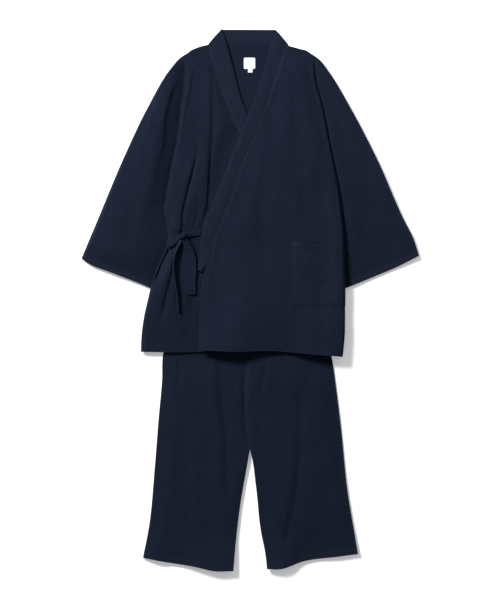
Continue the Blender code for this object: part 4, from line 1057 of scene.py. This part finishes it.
TROUSER_FOLDS = (
    (2.6, 18, 10.0, 0.10, 0.40,
     ((-92, 780), (-86, 860), (-82, 911), (-72, 1002), (-71, 1100), (-63, 1180), (-62, 1270))),
    (2.2, 16, 8.0, 0.40, 0.15, ((113, 860), (110, 1024), (99, 1137), (85, 1213), (64, 1300))),
    (0.9, 7, 4.5, 0.20, 0.60, ((31, 790), (28, 830), (24, 880))),
    (0.7, 7, 4.5, 0.20, 0.60, ((50, 790), (48, 840), (46, 900))),
    (1.0, 9, 5.0, 0.20, 0.60, ((-182, 790), (-183, 840), (-184, 900))),
    (0.6, 18, 14.0, 0.30, 0.40, ((160, 860), (172, 980), (184, 1120))),
    (0.6, 18, 14.0, 0.30, 0.40, ((-130, 850), (-138, 1000), (-142, 1180))),
)
LEG_LIFT = (
    # x and how far the hem stands off the surface there
    (-263, 2), (-243, 6), (-225, 6.5), (-198, 3), (-168, 3.5), (-130, 8), (-95, 11), (-41, 11),
    (41, 8), (62, 11), (95, 10), (120, 4), (142, 1.5), (200, 2.5), (264, 5),
)


def leg_lift(x, down):
    """How far a leg's cloth stands off the surface, near its hem and along the edges in shadow."""
    near_hem = step(-95, -5, down - LEG_END + LEG_END_SLANT * (np.abs(x) - LEG_END_X))
    inseam = 4.0 * step(CROTCH + 20, CROTCH + 120, down) * (1 - step(0, 60, curve(RIGHT_INSEAM, down) - x))
    outseam = 2.0 * step(1000, 1150, down) * (1 - step(0, 50, curve(LEFT_LEG_SIDE, down) - x))
    edges = np.where(x < 0, inseam, outseam)
    return curve(LEG_LIFT, x) * near_hem + edges * (1 - near_hem)


def trouser_under(x, down):
    """Underside of the trouser fronts."""
    outer = np.minimum(x - curve(RIGHT_LEG_SIDE, down), curve(LEFT_LEG_SIDE, down) - x)
    inner = np.maximum(curve(RIGHT_INSEAM, down) - x, x - curve(LEFT_INSEAM, down))
    inner = np.maximum(inner, 0) + 60 * (1 - step(CROTCH - 60, CROTCH + 150, down))
    loft = TROUSER_LOFT * step(2, 44, outer) * step(2, 44, inner)
    loft = loft * step(800, 880, down) * (1 - 0.8 * step(1180, 1320, down))
    loft = loft * relief(TROUSER_TROUGHS, x, down)
    centre = np.where(down < CROTCH, curve(CENTRE_SEAM, down), 1000)
    open_cloth = step(0, 20, outer) * step(0, 20, inner) * step(0, 9, np.abs(x - centre))
    detail = folds(TROUSER_FOLDS, x, down) + rumple(x, down, 38, 1.0, 11.0) + rumple(x, down, 12, 0.22, 12.0)
    detail = detail * open_cloth * step(780, 800, down)
    puffed = 5.5 * step(745, 785, down) * (1 - step(815, 930, down))
    puffed = puffed * step(-12, 3, x) * (1 - step(100, 150, x))
    return PITCH + np.maximum(loft + detail, 0) + puffed + leg_lift(x, down)


def leg(name, side, inseam, hem, sign):
    """Front and back of one leg. sign is 1 for the left one."""
    length = inseam[-1][0] - WAIST_BOTTOM
    level = shares(length, (0, 4), 170, LEG_INSETS)
    inner_down = WAIST_BOTTOM + length * level
    outer_down = WAIST_BOTTOM + (side[-1][0] - WAIST_BOTTOM) * level
    seam = np.where(inner_down < CROTCH, curve(CENTRE_SEAM, inner_down), curve(inseam, inner_down))
    gap = SEAM + (GAP - SEAM) * (1 - step(CROTCH - 110, CROTCH - 70, inner_down))
    inner = np.column_stack((seam + sign * gap, inner_down))
    outer = np.column_stack((curve(side, outer_down), outer_down))
    widths = np.abs(outer[:, 0] - inner[:, 0])
    across = np.array([
        shares(width, (0, 0.5, 1.4, 3, 5), 76, (9, 6, 4, 2.5, 1.3, 0.5, 0)) for width in widths])
    plan = between(
        straight(inner[0], outer[0], across), hem_line(inner[-1], outer[-1], hem, across),
        inner, outer, across, level)
    x, down = plan[..., 0], plan[..., 1]
    from_hem = np.linalg.norm(plan - plan[-1:], axis=-1)
    from_outer = np.abs(plan[:, -1:, 0] - x)
    from_inner = np.abs(plan[:, :1, 0] - x)
    height = trouser_under(x, down) + stitched_hem(from_hem, LEG_STITCH, x)
    height -= 0.5 * near(from_outer, 1.2) + 0.5 * near(from_inner, 1.2)
    height = np.maximum(height, PITCH - 0.2)
    # Paler along the outside and inside edges and the hem: worn edges, and painted highlight along the
    # outlines.
    wear_and_highlight = 0.32 * near(from_outer, 5) + 0.22 * (1 - step(13, 17, from_hem))
    wear_and_highlight += 0.5 * near(from_hem, 1.6) + 0.25 * near(from_inner, 3)
    front, points = laid_panel(
        name + "_leg_front", plan, height, ["trouser_front_" + name], wear_and_highlight=wear_and_highlight)
    coarse = plan[::4, ::3].copy()
    from_centre = np.abs(coarse[..., 0] - curve(CENTRE_SEAM, coarse[..., 1]))
    above_crotch = 1 - step(CROTCH - 60, CROTCH - 10, coarse[..., 1])
    coarse[..., 0] += 2.0 * above_crotch * (1 - step(0, 60, from_centre))
    back, _ = laid_panel(
        name + "_leg_back", coarse, 0.8 * leg_lift(coarse[..., 0], coarse[..., 1]), ["trouser_back_" + name])
    return points


right_leg_points = leg("right", RIGHT_LEG_SIDE, RIGHT_INSEAM, RIGHT_LEG_HEM, sign=-1)
left_leg_points = leg("left", LEFT_LEG_SIDE, LEFT_INSEAM, LEFT_LEG_HEM, sign=1)

# Waistband
# A cotton band folded over elastic and sewn to the tops of the legs. It lies hidden under the jacket.

WAIST_TOP = 654.0
WAIST_RIGHT, WAIST_LEFT = -172, 168
WAIST_WALL = 1.6
levels = np.linspace(WAIST_TOP, WAIST_BOTTOM - GAP, 14)
across = np.linspace(WAIST_RIGHT, WAIST_LEFT, 91)
plan = np.stack(np.broadcast_arrays(across, levels[:, None]), axis=-1)
waistband, _ = flat_tube(
    "waistband_tube", plan, np.zeros(plan.shape[:2]), (WAIST_WALL + GAP) / 2, WAIST_WALL, ["waistband"])

# Stitching
# Navy thread in short, even stitches. They hold the hems, the cuffs, the left front's free edge, and
# the pocket's opening and edges.

STITCH_PITCH = 3.6
STITCH_SIZE = (0.00024, 0.0013, 0.0002)  # half its width, length and height, in metres
COVERED_FROM = -118  # x from which the left front hides the right hem
thread, thread_shader = plain_material("navy_thread", roughness=0.8)
thread_shader.inputs["Specular IOR Level"].default_value = 0.1
thread_grain = thread.node_tree.nodes.new("ShaderNodeTexCoord")
twist = thread.node_tree.nodes.new("ShaderNodeTexNoise")
twist.inputs["Scale"].default_value = 900.0
thread.node_tree.links.new(thread_grain.outputs["Object"], twist.inputs["Vector"])
thread_shade = shaded(
    thread.node_tree, twist.outputs["Fac"], (0.0055, 0.0080, 0.0170), (0.0085, 0.0120, 0.0240))
thread.node_tree.links.new(thread_shade, thread_shader.inputs["Base Color"])


def line_at(points, distance, inset):
    """The line on a panel that stays a set distance from the edge its rows end on."""
    line = []
    for column in range(points.shape[1]):
        away = distance[:, column]
        line.append([np.interp(inset, away[::-1], points[::-1, column, axis]) for axis in range(3)])
    return np.array(line)


def stitches(name, lines):
    """Short rounded stitches along lines of points."""
    sewn = bmesh.new()
    for line in lines:
        run = run_along(line)
        at = np.arange(STITCH_PITCH / 2, run[-1], STITCH_PITCH)
        centres = np.column_stack([np.interp(at, run, line[:, axis]) for axis in range(3)])
        ahead = np.column_stack([np.interp(at + 1, run, line[:, axis]) for axis in range(3)])
        for centre, target in zip(place(centres), place(ahead)):
            turn = Vector(target - centre).to_track_quat("Y", "Z").to_matrix().to_4x4()
            matrix = Matrix.Translation(Vector(centre)) @ turn @ Matrix.Diagonal((*STITCH_SIZE, 1))
            bmesh.ops.create_uvsphere(sewn, u_segments=6, v_segments=4, radius=1, matrix=matrix)
    finished(name, sewn, material=thread)


def along_last_row(points, inset):
    """The line on a sleeve or a leg that stays a set distance from its cuff or its hem."""
    return line_at(points, np.linalg.norm((points - points[-1:])[..., :2], axis=-1), inset)


shown = right_front_points[-1, :, 0] < COVERED_FROM
free_down = left_front_points[:, 0, 1]
free_rows = (free_down > COLLAR_END + 2) & (free_down < LEFT_LEVELS[0][-1] - 3)
free_side = left_front_points[free_rows][:, ::-1].transpose(1, 0, 2)
pocket_side = pocket_points[:, ::-1].transpose(1, 0, 2)
stitches("jacket_stitching", (
    line_at(left_front_points, left_from_hem, HEM_STITCH),
    line_at(right_front_points[:, shown], right_from_hem[:, shown], HEM_STITCH),
    line_at(free_side, free_side[..., 0] - curve(LEFT_FREE, free_side[..., 1]), FREE_STITCH),
    line_at(pocket_points[::-1], from_top[::-1], OPENING_STITCH),
    line_at(pocket_points, from_foot, EDGE_STITCH),
    line_at(pocket_side, from_inner[:, ::-1].T, EDGE_STITCH)))
stitches("cuff_stitching", (
    along_last_row(left_sleeve_points[:, :-2], CUFF_STITCH),
    along_last_row(right_sleeve_points[:, :-2], CUFF_STITCH)))
stitches("leg_stitching", (
    along_last_row(left_leg_points, LEG_STITCH), along_last_row(right_leg_points, LEG_STITCH)))

# Table and light
# The set lies on a plain white table. A large soft lamp lights it from the upper left, with a faint
# one at the upper right.

TABLE_DROP = 0.0003  # how far the table lies below the set, in metres
floor_mesh = bpy.data.meshes.new("table_top")
floor_grid = bmesh.new()
bmesh.ops.create_grid(floor_grid, x_segments=1, y_segments=1, size=6)
bmesh.ops.translate(floor_grid, verts=floor_grid.verts, vec=(0, 0, -TABLE_DROP))
floor_grid.to_mesh(floor_mesh)
floor_grid.free()
white, white_shader = plain_material("white_table", roughness=0.9)
white_shader.inputs["Base Color"].default_value = (0.95, 0.95, 0.95, 1)
white_shader.inputs["Emission Color"].default_value = (1, 1, 1, 1)
white_shader.inputs["Emission Strength"].default_value = 0.25
floor_mesh.materials.append(white)
table = bpy.data.objects.new("table_top", floor_mesh)
bpy.context.collection.objects.link(table)

LAMPS = (
    # name, place and size in metres, power in watts
    ("window", (-2.9, 3.1, 2.6), 1.3, 467.0),
    ("reflector", (0.80, 1.15, 0.90), 0.9, 3.0),
)
for name, at, size, power in LAMPS:
    lamp_data = bpy.data.lights.new(name, "AREA")
    lamp_data.shape = "SQUARE"
    lamp_data.size = size
    lamp_data.energy = power
    lamp = bpy.data.objects.new(name, lamp_data)
    lamp.location = at
    lamp.rotation_euler = (Vector((0, 0, 0)) - lamp.location).to_track_quat("-Z", "Y").to_euler()
    bpy.context.collection.objects.link(lamp)

world = bpy.data.worlds.new("room")
world.use_nodes = True
world.node_tree.nodes["Background"].inputs["Color"].default_value = (0.95, 0.97, 1.0, 1)
world.node_tree.nodes["Background"].inputs["Strength"].default_value = 0.28
bpy.context.scene.world = world
bpy.context.scene.view_settings.view_transform = "Standard"

PHOTO_ROWS, PIXEL = 600, 0.00245  # the photo's height in pixels, and what one spans in metres
CAMERA_PLACE = (-0.0005, -0.0004, 6.0)
camera_data = bpy.data.cameras.new("camera")
camera_data.sensor_fit = "VERTICAL"
camera_data.sensor_height = 36.0
camera_data.lens = camera_data.sensor_height * CAMERA_PLACE[2] / (PHOTO_ROWS * PIXEL)
camera_data.clip_end = 50.0
camera = bpy.data.objects.new("camera", camera_data)
camera.location = CAMERA_PLACE
bpy.context.collection.objects.link(camera)
bpy.context.scene.camera = camera
